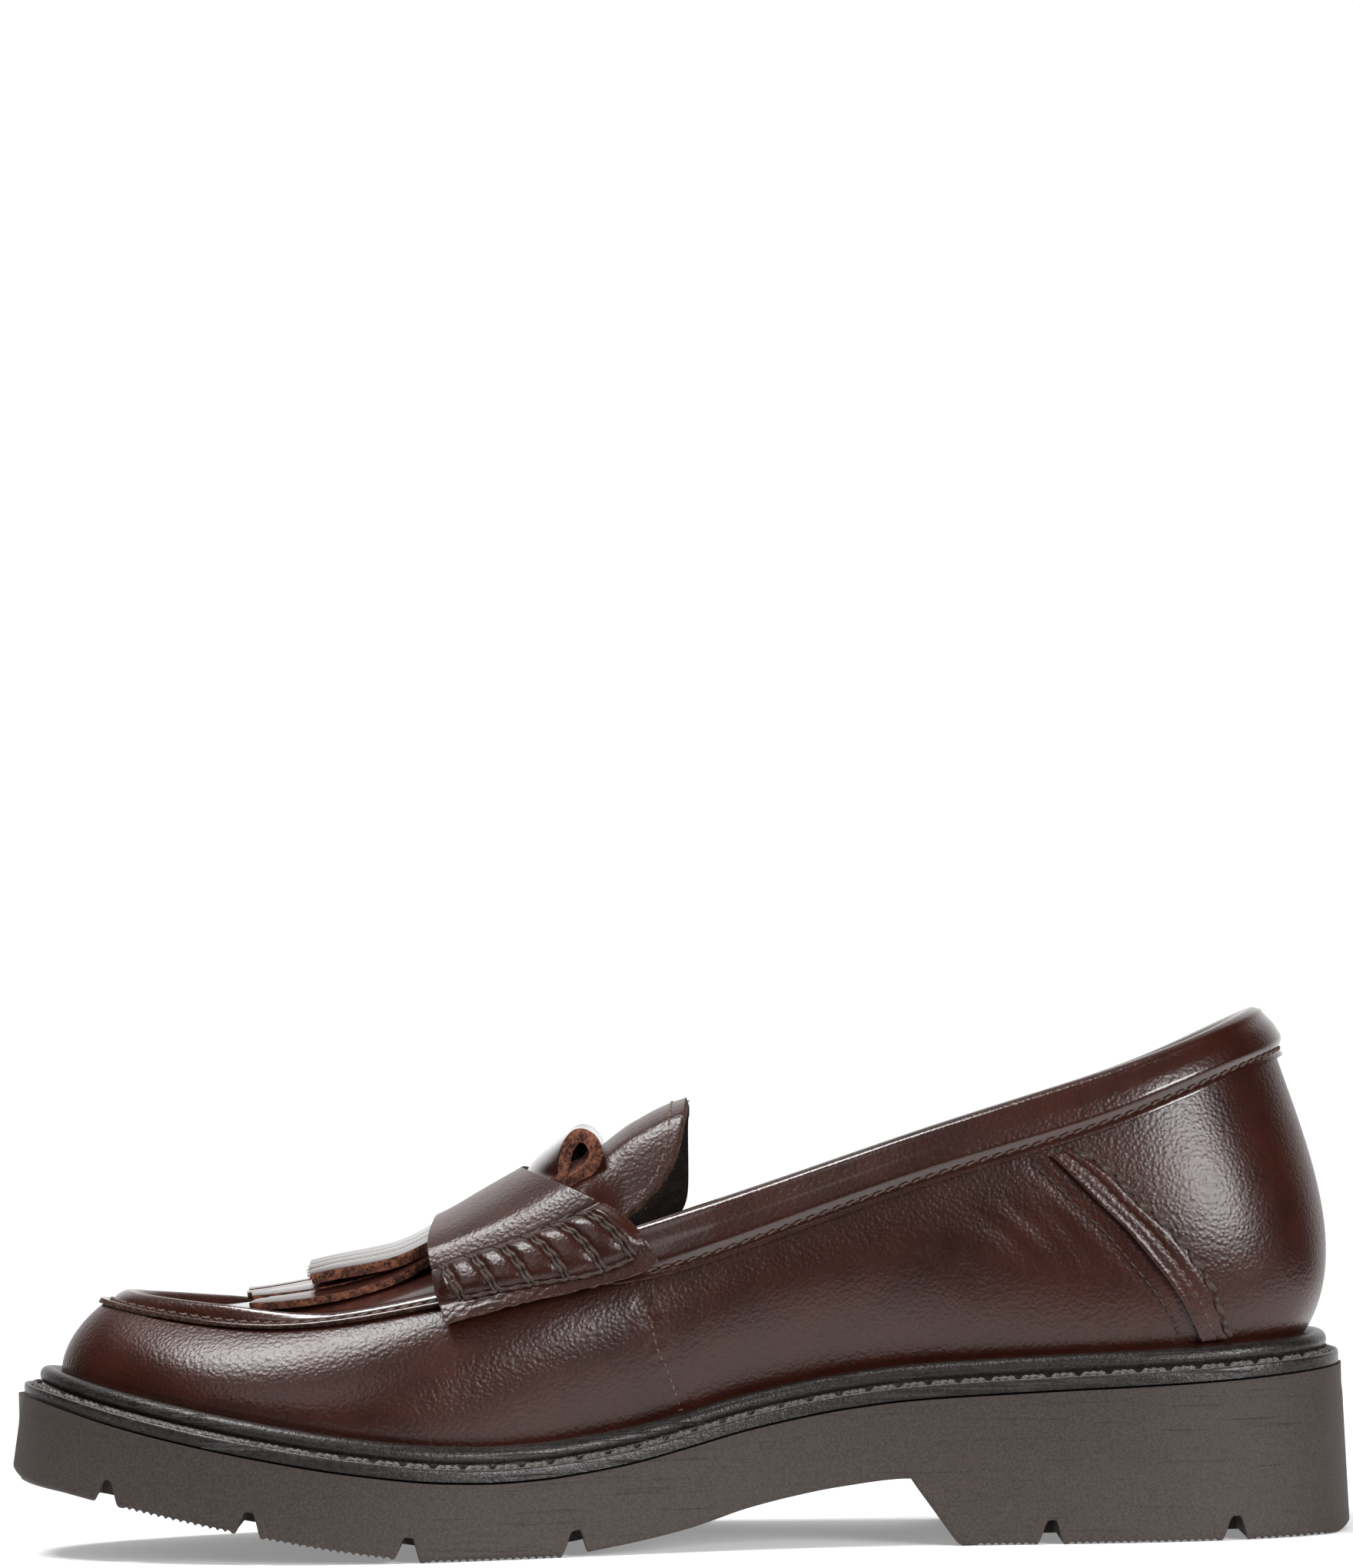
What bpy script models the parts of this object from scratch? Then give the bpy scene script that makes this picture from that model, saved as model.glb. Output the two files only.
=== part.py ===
"""Kiltie loafer for the right foot: lug outsole, storm welt, hollow upper and the pieces sewn over it.

The toe points along -X, the wearer's left (the inner side of this right shoe) along -Y, and +Z is up.
Heel and forefoot rest on Z = 0, and X = 0 is the middle of the outsole. Sizes are in millimetres.
"""

import math
from typing import NamedTuple

import bmesh
import bpy
import numpy as np
from mathutils import Vector

MM = 0.001

# Driving dimensions
SOLE_HALF_LENGTH = 133.6
SEAT_GAP = 0.3
WELT_THICKNESS = 2.6
BEAD_TOP = 6.9
BEAD_RADIUS = 2.05
LEATHER = 1.8
OVERLAY = 1.3
RIM_HEIGHT = 2.6
BAND_PAD = 1.3
INSOLE_THICKNESS = 3.5
GROOVE_HEIGHT = 4.7
GROOVE_TOP = 1.2
GROOVE_FOOT = 5.0
TONGUE_THICKNESS = 1.5
KILTIE_THICKNESS = 1.3
STRAP_THICKNESS = 1.6
ROLL_HEIGHT = 3.2
FRINGE_STRIPS = 9
COLUMNS = 68
# Height on the upper's face, from 0 to 1, at which it leaves the welt's bead
WALL_START = 0.12
# Reach of the fine rows beside the shoulder line
SEAM_ZONE = 9.0
# Middle plane of the tongue and of the kiltie's fold
MIDDLE_Y = -0.1

# Height of the outsole's top along its length, from toe spring over the ball to the heel seat
DECK = [
    (-134, 32.4), (-124, 30.0), (-114, 27.3), (-102, 24.4), (-84, 20.6), (-63, 17.0), (-45, 15.0),
    (-36, 14.7), (-28, 15.0), (-18, 16.1), (-9, 17.6), (2, 20.3), (13, 23.2), (22, 25.1), (31, 26.7),
    (46, 28.4), (71, 29.6), (103, 30.8), (118, 31.7), (134, 33.0),
]

# Underside between the grooves: toe spring, flat forefoot, arch, heel breast and flat heel
UNDERSIDE = [
    (-133.6, 17.0), (-131.0, 15.3), (-121, 13.3), (-112, 11.4), (-98, 8.4), (-83, 5.4),
    (-68, 2.6), (-56, 0.8), (-50, 0.0), (-24, 0.0), (-17, 1.1), (-8, 2.6), (2, 4.8), (13, 8.2),
    (22, 10.3), (31, 11.9), (45, 13.3), (53.6, 1.0), (55.0, 0.0), (129.5, 0.0), (134.0, 1.8),
]
GROOVES = [-112.6, -84.0, -52.9, -20.5, 72.4, 108.7]

# How far the upper stands in from the welt's edge
UPPER_INSET = [(-134, 7.5), (-60, 7.2), (30, 6.9), (134, 6.6)]

# Height of the last's centre line over the vamp and on under the tongue
RIDGE_LINE = [
    (-114.8, 49.4), (-110, 48.2), (-105, 47.3), (-95, 46.9), (-85, 47.5), (-74, 49.4), (-66, 51.3),
    (-55, 54.2), (-47, 57.0), (-42, 59.1), (-34, 63.5), (-30.5, 65.4), (-20, 71.2), (-14, 75.1),
    (-7, 80.0), (0, 83.6), (6, 85.6),
]
CROWN_POWER = [(-115, 2.6), (-60, 2.4), (-35, 2.4), (-15, 3.0), (10, 3.2)]


class Rib(NamedTuple):
    """One section of the last: welt edge, shoulder line and, behind the throat, topline."""

    edge_x: float
    edge_y: float
    shoulder: tuple
    flare: float
    lean: float
    top: tuple = None


# Heel back, then the inner side to the toe, then the outer side back to the heel.
# The shoulder is the moc seam in front and the collar band's lower edge behind.
LAST = [
    Rib(131.9, -0.5, (121.0, -0.5, 94.0), 34, 18, (116.2, -0.5, 103.0)),
    Rib(126.0, -22.5, (113.0, -19.1, 91.2), 31, 16, (109.6, -17.3, 100.2)),
    Rib(110.0, -32.5, (101.0, -27.1, 86.6), 26, 12, (99.0, -24.9, 96.0)),
    Rib(85.0, -35.0, (83.0, -30.3, 80.0), 22, 10, (82.0, -28.3, 90.4)),
    Rib(50.0, -32.5, (50.0, -31.5, 70.7), 26, 10, (50.0, -29.5, 81.0)),
    Rib(20.0, -32.5, (20.0, -31.9, 60.8), 24, 12, (20.0, -29.5, 71.4)),
    Rib(-8.0, -37.5, (-8.0, -33.1, 52.9), 16, 20, (-8.0, -29.9, 62.6)),
    Rib(-25.0, -42.3, (-25.0, -34.1, 51.2), 14, 38, (-19.5, -27.9, 59.8)),
    Rib(-40.0, -46.5, (-40.0, -33.9, 49.6), 12, 48),
    Rib(-58.0, -49.0, (-58.0, -32.9, 46.6), 12, 52),
    Rib(-80.0, -46.5, (-79.0, -29.3, 44.6), 12, 54),
    Rib(-100.0, -39.5, (-96.0, -22.3, 45.9), 10, 54),
    Rib(-117.0, -28.0, (-108.0, -14.1, 48.0), -4, 54),
    Rib(-127.0, -16.0, (-113.2, -8.1, 49.2), -4, 54),
    Rib(-130.5, -4.0, (-114.7, -2.5, 49.5), -4, 54),
    Rib(-127.2, 8.0, (-113.0, 3.1, 49.2), -4, 54),
    Rib(-117.0, 21.0, (-107.4, 9.7, 47.9), -4, 54),
    Rib(-100.0, 33.0, (-95.5, 19.1, 45.7), 10, 54),
    Rib(-80.0, 41.5, (-79.0, 26.9, 44.2), 12, 54),
    Rib(-57.0, 47.5, (-57.0, 31.5, 46.2), 12, 52),
    Rib(-38.0, 49.0, (-38.0, 33.1, 49.2), 12, 48),
    Rib(-22.0, 48.1, (-23.5, 33.5, 50.8), 14, 38, (-19.5, 28.1, 59.4)),
    Rib(-5.0, 45.3, (-6.0, 32.9, 52.8), 18, 20, (-6.5, 29.9, 61.3)),
    Rib(20.0, 40.1, (20.0, 31.9, 60.0), 22, 12, (20.0, 29.5, 69.0)),
    Rib(50.0, 36.1, (50.0, 30.7, 69.9), 24, 10, (50.0, 28.7, 78.8)),
    Rib(85.0, 34.7, (83.0, 29.3, 79.5), 22, 10, (82.0, 27.3, 88.6)),
    Rib(110.0, 31.9, (101.0, 26.1, 86.3), 24, 12, (99.0, 23.9, 94.7)),
    Rib(126.0, 21.5, (113.0, 18.1, 91.1), 29, 16, (109.6, 16.3, 99.6)),
]
THROAT_CENTRE = (-27.0, 0.1)

# Fold of the kiltie behind the strap: its way round over the middle, then at the piece's sides
FOLD = [
    (-26.0, 73.2, -21.0, 71.9), (-21.5, 75.8, -18.2, 73.7), (-18.0, 78.0, -16.0, 75.5),
    (-16.2, 79.3, -15.3, 78.3), (-17.4, 80.9, -16.5, 80.8), (-20.4, 80.3, -18.8, 81.6),
    (-24.0, 77.9, -20.7, 79.4), (-27.0, 75.4, -21.6, 76.0), (-29.3, 72.6, -23.0, 72.4),
]
FOLD_HALF = 20.0
# Where the kiltie lies on the vamp: x, height over the last and half width, lower layer then upper
FRINGE_UNDER = [
    (-86.0, 3.1, 22.8), (-80.0, 3.0, 24.0), (-72.0, 2.9, 25.0), (-64.0, 2.8, 25.0), (-55.0, 3.0, 24.0),
    (-47.0, 4.1, 22.6), (-39.0, 4.35, 21.4), (-31.0, 4.35, 20.4),
]
FRINGE_OVER = [
    (-33.0, 5.95, 20.2), (-40.0, 5.95, 20.8), (-47.0, 5.8, 21.2), (-54.0, 4.8, 21.6),
    (-60.0, 4.4, 22.0), (-67.0, 4.3, 22.2), (-73.0, 4.3, 22.4),
]

# Strap from the middle to its lower edge: step, front x and place across, rear x and place across.
# A place across of 0 is the ridge and 1 the shoulder line; past 1 it runs down the wall.
STRAP = [
    (0.00, -44.3, 0.00, -26.8, 0.00), (0.25, -44.8, 0.28, -25.6, 0.26), (0.50, -46.0, 0.56, -22.5, 0.51),
    (0.72, -46.8, 0.79, -16.5, 0.72), (0.88, -46.6, 0.98, -9.0, 0.85), (1.00, -45.4, 1.18, -3.0, 0.96),
]
# The strap's height over the last at its front edge and at its rear edge, by the same steps
STRAP_LIFT = [
    (0.00, 6.9, 6.9), (0.50, 6.9, 6.9), (0.66, 6.4, 6.9), (0.80, 3.2, 6.0), (0.90, 2.1, 5.6),
    (1.00, 2.1, 5.4),
]
# Steps between which the roll lies, its bulges, and how much of its height is left between them
ROLL_FIRST, ROLL_LAST, ROLL_LOBES, ROLL_NECK = 0.78, 0.93, 5, 0.78

# Heel strip's middle line, top to bottom, as x and z on the inner side
STRIP_LINE = [
    (77.4, 76.8), (82.8, 70.8), (87.8, 65.6), (94.0, 58.6), (99.0, 52.0), (103.0, 45.6), (105.6, 39.4),
]
STRIP_WIDTH = 5.4

# The apron's rim fades over this length behind this x, and the collar band starts at its own x
RIM_END, RIM_FADE = -76.0, 16.0
BAND_FRONT = -18.0

# Tongue: where it starts, its gap over the last, its half width, and the x of its end
TONGUE_START, TONGUE_SEAT, TONGUE_HALF = -41.0, 2.0, 25.6
TONGUE_END, TONGUE_END_INNER, TONGUE_END_OUTER = 2.6, -4.0, -2.5

# Colour and roughness of each finish
LEATHER_FINISH = ((0.105, 0.030, 0.020), 0.32)
WELT_FINISH = ((0.030, 0.022, 0.019), 0.38)
SOLE_FINISH = ((0.085, 0.062, 0.054), 0.72)
LINING_FINISH = ((0.050, 0.030, 0.022), 0.75)


def curve(rows):
    """A smooth curve through (x, value) rows that never swings past them."""
    xs, ys = (np.array(column, float) for column in zip(*rows))
    step = np.diff(xs)
    slope = np.diff(ys) / step
    tangent = np.zeros_like(xs)
    tangent[0], tangent[-1] = slope[0], slope[-1]
    for i in range(1, len(xs) - 1):
        if slope[i - 1] * slope[i] > 0:
            near, far = 2 * step[i] + step[i - 1], step[i] + 2 * step[i - 1]
            tangent[i] = (near + far) / (near / slope[i - 1] + far / slope[i])

    def value(x):
        x = np.clip(x, xs[0], xs[-1])
        i = np.clip(np.searchsorted(xs, x, side="right") - 1, 0, len(step) - 1)
        t = (x - xs[i]) / step[i]
        rise = t * t * (3 - 2 * t)
        leave, arrive = t * (1 - t) ** 2, -t * t * (1 - t)
        return ys[i] + rise * (ys[i + 1] - ys[i]) + step[i] * (leave * tangent[i] + arrive * tangent[i + 1])

    return value


def closed_curve(shares, points):
    """A periodic cubic spline through points at increasing shares of one turn."""
    points = np.array(points, float)
    count = len(points)
    step = np.diff(np.append(shares, shares[0] + 1.0))
    system = np.zeros((count, count))
    load = np.zeros_like(points)
    for i in range(count):
        before, after = step[i - 1], step[i]
        system[i, i - 1] = before
        system[i, i] = 2 * (before + after)
        system[i, (i + 1) % count] = after
        ahead = (points[(i + 1) % count] - points[i]) / after
        load[i] = 6 * (ahead - (points[i] - points[i - 1]) / before)
    bend = np.linalg.solve(system, load)

    def value(u):
        u = u % 1.0
        i = int(np.searchsorted(shares, u, side="right")) - 1
        h = step[i]
        after = (u - shares[i]) / h
        before = 1 - after
        j = (i + 1) % count
        arch = (before**3 - before) * bend[i] + (after**3 - after) * bend[j]
        return before * points[i] + after * points[j] + arch * h * h / 6

    return value


deck = curve(DECK)
ridge_line = curve(RIDGE_LINE)
crown_power = curve(CROWN_POWER)
upper_inset = curve(UPPER_INSET)


def rib_shares():
    """Each rib's place along the welt's edge, as a share of its whole way round."""
    edge = np.array([(rib.edge_x, rib.edge_y) for rib in LAST])
    lengths = np.linalg.norm(np.roll(edge, -1, axis=0) - edge, axis=1)
    return np.append(0.0, np.cumsum(lengths)[:-1]) / lengths.sum()


SHARES = rib_shares()
edge_curve = closed_curve(SHARES, [(rib.edge_x, rib.edge_y) for rib in LAST])
shoulder_curve = closed_curve(SHARES, [rib.shoulder for rib in LAST])
angle_curve = closed_curve(SHARES, [(rib.flare, rib.lean) for rib in LAST])
UNTOPPED = [i for i, rib in enumerate(LAST) if rib.top is None]
CORNER_IN, CORNER_OUT = UNTOPPED[0] - 1, UNTOPPED[-1] + 1
TOE = int(np.argmin([rib.edge_x for rib in LAST]))


def outward(u):
    """The level direction that faces away from the shoe at share u."""
    along = edge_curve(u + 1e-4) - edge_curve(u - 1e-4)
    return np.array([-along[1], along[0]]) / np.linalg.norm(along)


def edge_point(u, inset, above_deck):
    """A point inset from the welt's edge, at a height above the outsole's top."""
    x, y = edge_curve(u) - inset * outward(u)
    return np.array([x, y, deck(x) + above_deck])


def shoulder_side(first, last):
    """The shoulder line from one share to another, sorted by x: its x, y, z and share."""
    shares = np.linspace(first, last, 241)
    walk = np.array([shoulder_curve(u) for u in shares])
    order = np.argsort(walk[:, 0])
    return walk[order, 0], walk[order, 1], walk[order, 2], shares[order]


INNER_SIDE = shoulder_side(0.0, SHARES[TOE])
OUTER_SIDE = shoulder_side(SHARES[TOE], 1.0)


def side_at(x, side):
    xs, ys, zs, shares = side
    return np.interp(x, xs, ys), np.interp(x, xs, zs), np.interp(x, xs, shares)


def middle_and_half(x):
    """The vamp's middle y and its half width between the shoulder lines at x."""
    inner, outer = side_at(x, INNER_SIDE)[0], side_at(x, OUTER_SIDE)[0]
    return (inner + outer) / 2, max((outer - inner) / 2, 0.5)


def crown_height(x, y):
    """Height of the vamp between its two shoulder lines."""
    middle, half = middle_and_half(x)
    q = np.clip((y - middle) / half, -1.0, 1.0)
    low = side_at(x, INNER_SIDE if q < 0 else OUTER_SIDE)[1]
    high = float(ridge_line(x))
    return high - (high - low) * abs(q) ** float(crown_power(x))


def lifted(x, y, height):
    """Height of a layer that lies on the vamp at a thickness over the last."""
    slope_x = (crown_height(x + 0.5, y) - crown_height(x - 0.5, y))
    slope_y = (crown_height(x, y + 0.5) - crown_height(x, y - 0.5))
    return crown_height(x, y) + height * math.sqrt(1 + slope_x**2 + slope_y**2)


def throat_point(share):
    """The throat's edge between its inner corner, share 0, and its outer one, share 1."""
    inner, outer = LAST[CORNER_IN].top, LAST[CORNER_OUT].top
    y = inner[1] + share * (outer[1] - inner[1])
    x = THROAT_CENTRE[0] + (inner[0] - THROAT_CENTRE[0]) * (2 * share - 1) ** 2
    return np.array([x, y, crown_height(x, y)])


def top_knots():
    """The topline's points: the collar's behind and the throat's edge in front."""
    knots = []
    for i, rib in enumerate(LAST):
        if rib.top is None:
            share = (SHARES[i] - SHARES[CORNER_IN]) / (SHARES[CORNER_OUT] - SHARES[CORNER_IN])
            knots.append(throat_point(share))
        else:
            knots.append(np.array(rib.top, float))
    return knots


top_curve = closed_curve(SHARES, top_knots())


def arc(start, start_way, end, end_way, t):
    """A curve from start to end with given ways at its two ends."""
    length = np.linalg.norm(end - start)
    rise = t * t * (3 - 2 * t)
    leave, arrive = t * (1 - t) ** 2, -t * t * (1 - t)
    return start + rise * (end - start) + length * (leave * start_way + arrive * end_way)


def vamp_share(u):
    """1 where a rib runs up over the vamp, 0 where it ends at the collar, smooth between."""
    inner = (u - SHARES[CORNER_IN - 1]) / (SHARES[CORNER_IN] - SHARES[CORNER_IN - 1])
    outer = (SHARES[CORNER_OUT + 1] - u) / (SHARES[CORNER_OUT + 1] - SHARES[CORNER_OUT])
    t = float(np.clip(min(inner, outer), 0, 1))
    return t * t * (3 - 2 * t)


def upper_point(u, v):
    """The upper's outer face: v is 0 at the welt, 1 on the shoulder line and 2 at the collar or throat."""
    u = u % 1.0
    inset = float(upper_inset(edge_curve(u)[0]))
    foot = edge_point(u, inset, BEAD_TOP)
    if v <= WALL_START:
        low = edge_point(u, inset, SEAT_GAP)
        return low + v / WALL_START * (foot - low)
    shoulder, top = shoulder_curve(u), top_curve(u)
    flare, lean = np.radians(angle_curve(u))
    out, up = np.append(outward(u), 0.0), np.array([0.0, 0.0, 1.0])
    leave = math.sin(flare) * out + math.cos(flare) * up
    arrive = -math.sin(lean) * out + math.cos(lean) * up
    if v <= 1:
        return arc(foot, leave, shoulder, arrive, (v - WALL_START) / (1 - WALL_START))
    near = min(SEAM_ZONE / np.linalg.norm((top - shoulder)[:2]), 0.5)
    t = v - 1
    t = 2 * t * near if t < 0.5 else near + (2 * t - 1) * (1 - near)
    collar = arc(shoulder, arrive, top, (top - shoulder) / np.linalg.norm(top - shoulder), t)
    over = shoulder + t * (top - shoulder)
    over[2] = crown_height(over[0], over[1])
    share = vamp_share(u)
    return share * over + (1 - share) * collar


def normal_of(face, a, b, step=2e-3):
    """The direction out of a face at (a, b), from two small steps along it."""
    one = face(a + step, b) - face(a - step, b)
    two = face(a, b + step) - face(a, b - step)
    cross = np.cross(two, one)
    return cross / np.linalg.norm(cross)


def upper_offset(u, v, height):
    """A point at a height over the upper's outer face. At the shoulder the ways out of both faces count."""
    if abs(v - 1) < 0.03:
        way = normal_of(upper_point, u, 0.96) + normal_of(upper_point, u, 1.04)
    else:
        way = normal_of(upper_point, u, min(max(v, 3e-3), 1.997))
    return upper_point(u, v) + height * way / np.linalg.norm(way)


def section_point(x, q):
    """The last at x: q runs from -1 to 1 across the vamp, and past that down the wall on either side."""
    side = INNER_SIDE if q < 0 else OUTER_SIDE
    if abs(q) > 1:
        return upper_point(side_at(x, side)[2], 2 - abs(q))
    middle, half = middle_and_half(x)
    y = middle + q * half
    return np.array([x, y, crown_height(x, y)])


def section_offset(x, q, height):
    """A point at a height over the last, whose way out turns slowly across the shoulder line."""
    way = np.zeros(3)
    for shift in (-0.08, 0.0, 0.08):
        one = section_point(x + 0.4, q + shift) - section_point(x - 0.4, q + shift)
        two = section_point(x, q + shift + 0.02) - section_point(x, q + shift - 0.02)
        cross = np.cross(one, two)
        way += cross / np.linalg.norm(cross)
    return section_point(x, q) + height * way / np.linalg.norm(way)


def finish_of(name, colour, roughness):
    """A material of its own for one piece."""
    material = bpy.data.materials.new(name + "_finish")
    material.use_nodes = True
    shader = material.node_tree.nodes["Principled BSDF"]
    shader.inputs["Base Color"].default_value = (*colour, 1.0)
    shader.inputs["Roughness"].default_value = roughness
    shader.inputs["Metallic"].default_value = 0.0
    return material


def add_object(name, form, collection, finish=None):
    """Puts a finished bmesh in the scene, its round faces shaded smooth."""
    mesh = bpy.data.meshes.new(name)
    form.to_mesh(mesh)
    form.free()
    mesh.shade_smooth()
    mesh.set_sharp_from_angle(angle=math.radians(40))
    piece = bpy.data.objects.new(name, mesh)
    collection.objects.link(piece)
    if finish:
        mesh.materials.append(finish_of(name, *finish))
    return piece


def shaped_grid(columns, rows, place, ring=False, tube=False, keep=None):
    """A grid whose points go where place(column, row) says. A ring closes round, a tube closes across."""
    form = bmesh.new()
    wide, high = len(columns) - 1, len(rows) - 1
    bmesh.ops.create_grid(form, x_segments=wide, y_segments=high, size=1.0)
    where = form.verts.layers.float_vector.new("where")
    for vertex in form.verts:
        column = round((vertex.co.x + 1) / 2 * wide)
        row = round((vertex.co.y + 1) / 2 * high)
        column = 0 if ring and column == wide else column
        row = 0 if tube and row == high else row
        vertex[where] = Vector((columns[column], rows[row], 0.0))
    if keep:
        cut_out = [face for face in form.faces
                   if not keep(*(sum(vertex[where][k] for vertex in face.verts) / 4 for k in (0, 1)))]
        bmesh.ops.delete(form, geom=cut_out, context="FACES")
    for vertex in form.verts:
        vertex.co = Vector(place(*vertex[where][:2])) * MM
    if ring or tube:
        bmesh.ops.remove_doubles(form, verts=form.verts, dist=1e-6)
    return form


def slab(columns, rows, under, over, **options):
    """A closed plate between an under face and an outer face that share one grid."""
    form = shaped_grid(columns, rows, under, **options)
    where = form.verts.layers.float_vector["where"]
    raised = bmesh.ops.extrude_face_region(form, geom=form.faces[:])["geom"]
    for vertex in raised:
        if isinstance(vertex, bmesh.types.BMVert):
            vertex.co = Vector(over(*vertex[where][:2])) * MM
    bmesh.ops.recalc_face_normals(form, faces=form.faces)
    return form


def turning_columns():
    """Shares round the edge for all pieces that run round the shoe, closer together where it turns."""
    shares = np.linspace(0.0, 1.0, 721)
    ways = np.array([outward(u) for u in shares])
    turn = np.linalg.norm(np.diff(ways, axis=0), axis=1)
    weight = np.append(0.0, np.cumsum(1.0 / 720 + turn / 14.0))
    return np.interp(np.linspace(0.0, weight[-1], COLUMNS + 1), weight, shares)


AROUND = turning_columns()


def extruded(name, outline, half_width, collection):
    """A closed outline in X and Z, extruded to both sides in Y."""
    data = bpy.data.curves.new(name, "CURVE")
    data.dimensions = "2D"
    data.fill_mode = "BOTH"
    data.extrude = half_width * MM
    line = data.splines.new("POLY")
    line.points.add(len(outline) - 1)
    for point, (x, z) in zip(line.points, outline):
        point.co = (x * MM, z * MM, 0.0, 1.0)
    line.use_cyclic_u = True
    source = bpy.data.objects.new(name + "_outline", data)
    collection.objects.link(source)
    source.rotation_euler = (math.pi / 2, 0.0, 0.0)
    bpy.context.view_layer.update()
    mesh = bpy.data.meshes.new_from_object(source.evaluated_get(bpy.context.evaluated_depsgraph_get()))
    mesh.transform(source.matrix_world)
    bpy.data.objects.remove(source)
    form = bmesh.new()
    form.from_mesh(mesh)
    bmesh.ops.remove_doubles(form, verts=form.verts, dist=1e-6)
    bmesh.ops.recalc_face_normals(form, faces=form.faces)
    return add_object(name, form, collection)


def cut(piece, cutter, operation):
    """Applies one Boolean with a helper that no render shows."""
    cutter.hide_render = True
    cutter.display_type = "WIRE"
    modifier = piece.modifiers.new(cutter.name, "BOOLEAN")
    modifier.operation = operation
    modifier.object = cutter


def underside_outline():
    """The side profile of the outsole: grooved underside from toe to heel, then the top line back."""
    foot = curve(UNDERSIDE)
    spans = [(middle - GROOVE_FOOT / 2, middle + GROOVE_FOOT / 2) for middle in GROOVES]
    low = [(x, z) for x, z in UNDERSIDE if not any(first <= x <= last for first, last in spans)]
    for middle, (first, last) in zip(GROOVES, spans):
        height = float(foot(middle)) + GROOVE_HEIGHT
        low += [(first, float(foot(first))), (middle - GROOVE_TOP / 2, height)]
        low += [(middle + GROOVE_TOP / 2, height), (last, float(foot(last)))]
    low.sort()
    top_xs = np.linspace(SOLE_HALF_LENGTH, -SOLE_HALF_LENGTH, 44)
    return low + [(x, float(deck(x)) - 0.02) for x in top_xs]


def sole_wall(u, depth):
    """The outsole's side face, which widens downwards, most of all in front of the toe."""
    toe = float(np.clip((-edge_curve(u)[0] - 96.0) / 34.0, 0, 1))
    slope = 0.035 + 0.15 * toe * toe
    point = edge_point(u, -0.5 - slope * max(depth, 0.0), 0.0)
    point[2] = 34.0 - depth
    return point


def make_outsole(parts, helpers):
    """Plan outline and side profile, each extruded, and what the two share."""
    form = shaped_grid(AROUND, [-6.0, 0.0, 50.0], sole_wall, ring=True)
    bmesh.ops.holes_fill(form, edges=form.edges, sides=0)
    bmesh.ops.recalc_face_normals(form, faces=form.faces)
    outsole = add_object("outsole", form, parts, SOLE_FINISH)
    cut(outsole, extruded("side_profile", underside_outline(), 90.0, helpers), "INTERSECT")
    return outsole


def make_welt(parts):
    """One storm welt, swept round the shoe: a stitched flange with a round bead against the upper."""
    centre = BEAD_TOP - 0.1 - BEAD_RADIUS
    flange = [(0.0, 0.0), (0.0, WELT_THICKNESS - 0.3), (0.3, WELT_THICKNESS), (0.9, WELT_THICKNESS),
              (1.3, WELT_THICKNESS - 0.6)]
    bead = [(-1.85, -1.7), (-1.95, -0.4), (-1.35, 1.4), (0.0, BEAD_RADIUS), (1.35, 1.4), (1.85, 0.2)]

    def place(u, index):
        inner = float(upper_inset(edge_curve(u)[0])) - SEAT_GAP
        index = int(index)
        if index < len(flange):
            inset, height = flange[index]
        elif index < len(flange) + len(bead):
            inset, height = bead[index - len(flange)]
            inset, height = inner - 1.95 + inset, centre + height
        else:
            inset, height = inner - 0.05, 0.0
        return edge_point(u, inset, SEAT_GAP + height)

    rows = list(range(len(flange) + len(bead) + 1)) + [0]
    form = shaped_grid(AROUND, rows, place, ring=True, tube=True)
    bmesh.ops.recalc_face_normals(form, faces=form.faces)
    return add_object("welt", form, parts, WELT_FINISH)


def make_insole(parts, helpers):
    """A padded sock that fills the floor of the shoe, cut from its plan as the outsole is."""
    def place(u, level):
        inset = float(upper_inset(edge_curve(u)[0])) + LEATHER + 0.9
        return np.append(edge_point(u, inset, 0.0)[:2], 50.0 * level)

    form = shaped_grid(AROUND[::2], [0, 1], place, ring=True)
    bmesh.ops.holes_fill(form, edges=form.edges, sides=0)
    bmesh.ops.recalc_face_normals(form, faces=form.faces)
    insole = add_object("insole", form, parts, LINING_FINISH)
    xs = np.linspace(-SOLE_HALF_LENGTH, SOLE_HALF_LENGTH, 44)
    outline = [(x, float(deck(x)) + SEAT_GAP) for x in xs]
    outline += [(x, float(deck(x)) + SEAT_GAP + INSOLE_THICKNESS) for x in reversed(xs)]
    cut(insole, extruded("sock_profile", outline, 90.0, helpers), "INTERSECT")
    return insole


def make_upper(parts):
    """Vamp and quarters as one hollow shell, open at the collar and underneath."""
    heights = [0.0, WALL_START, 0.28, 0.44, 0.6, 0.75, 0.88, 1.0, 1.25, 1.5, 1.62, 1.75, 1.88, 2.0]
    form = shaped_grid(AROUND, heights, upper_point, ring=True)
    bmesh.ops.recalc_face_normals(form, faces=form.faces)
    upper = add_object("upper", form, parts, LEATHER_FINISH)
    wall = upper.modifiers.new("wall", "SOLIDIFY")
    wall.thickness = LEATHER * MM
    wall.offset = -1.0
    wall.use_even_offset = True
    return upper


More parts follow.
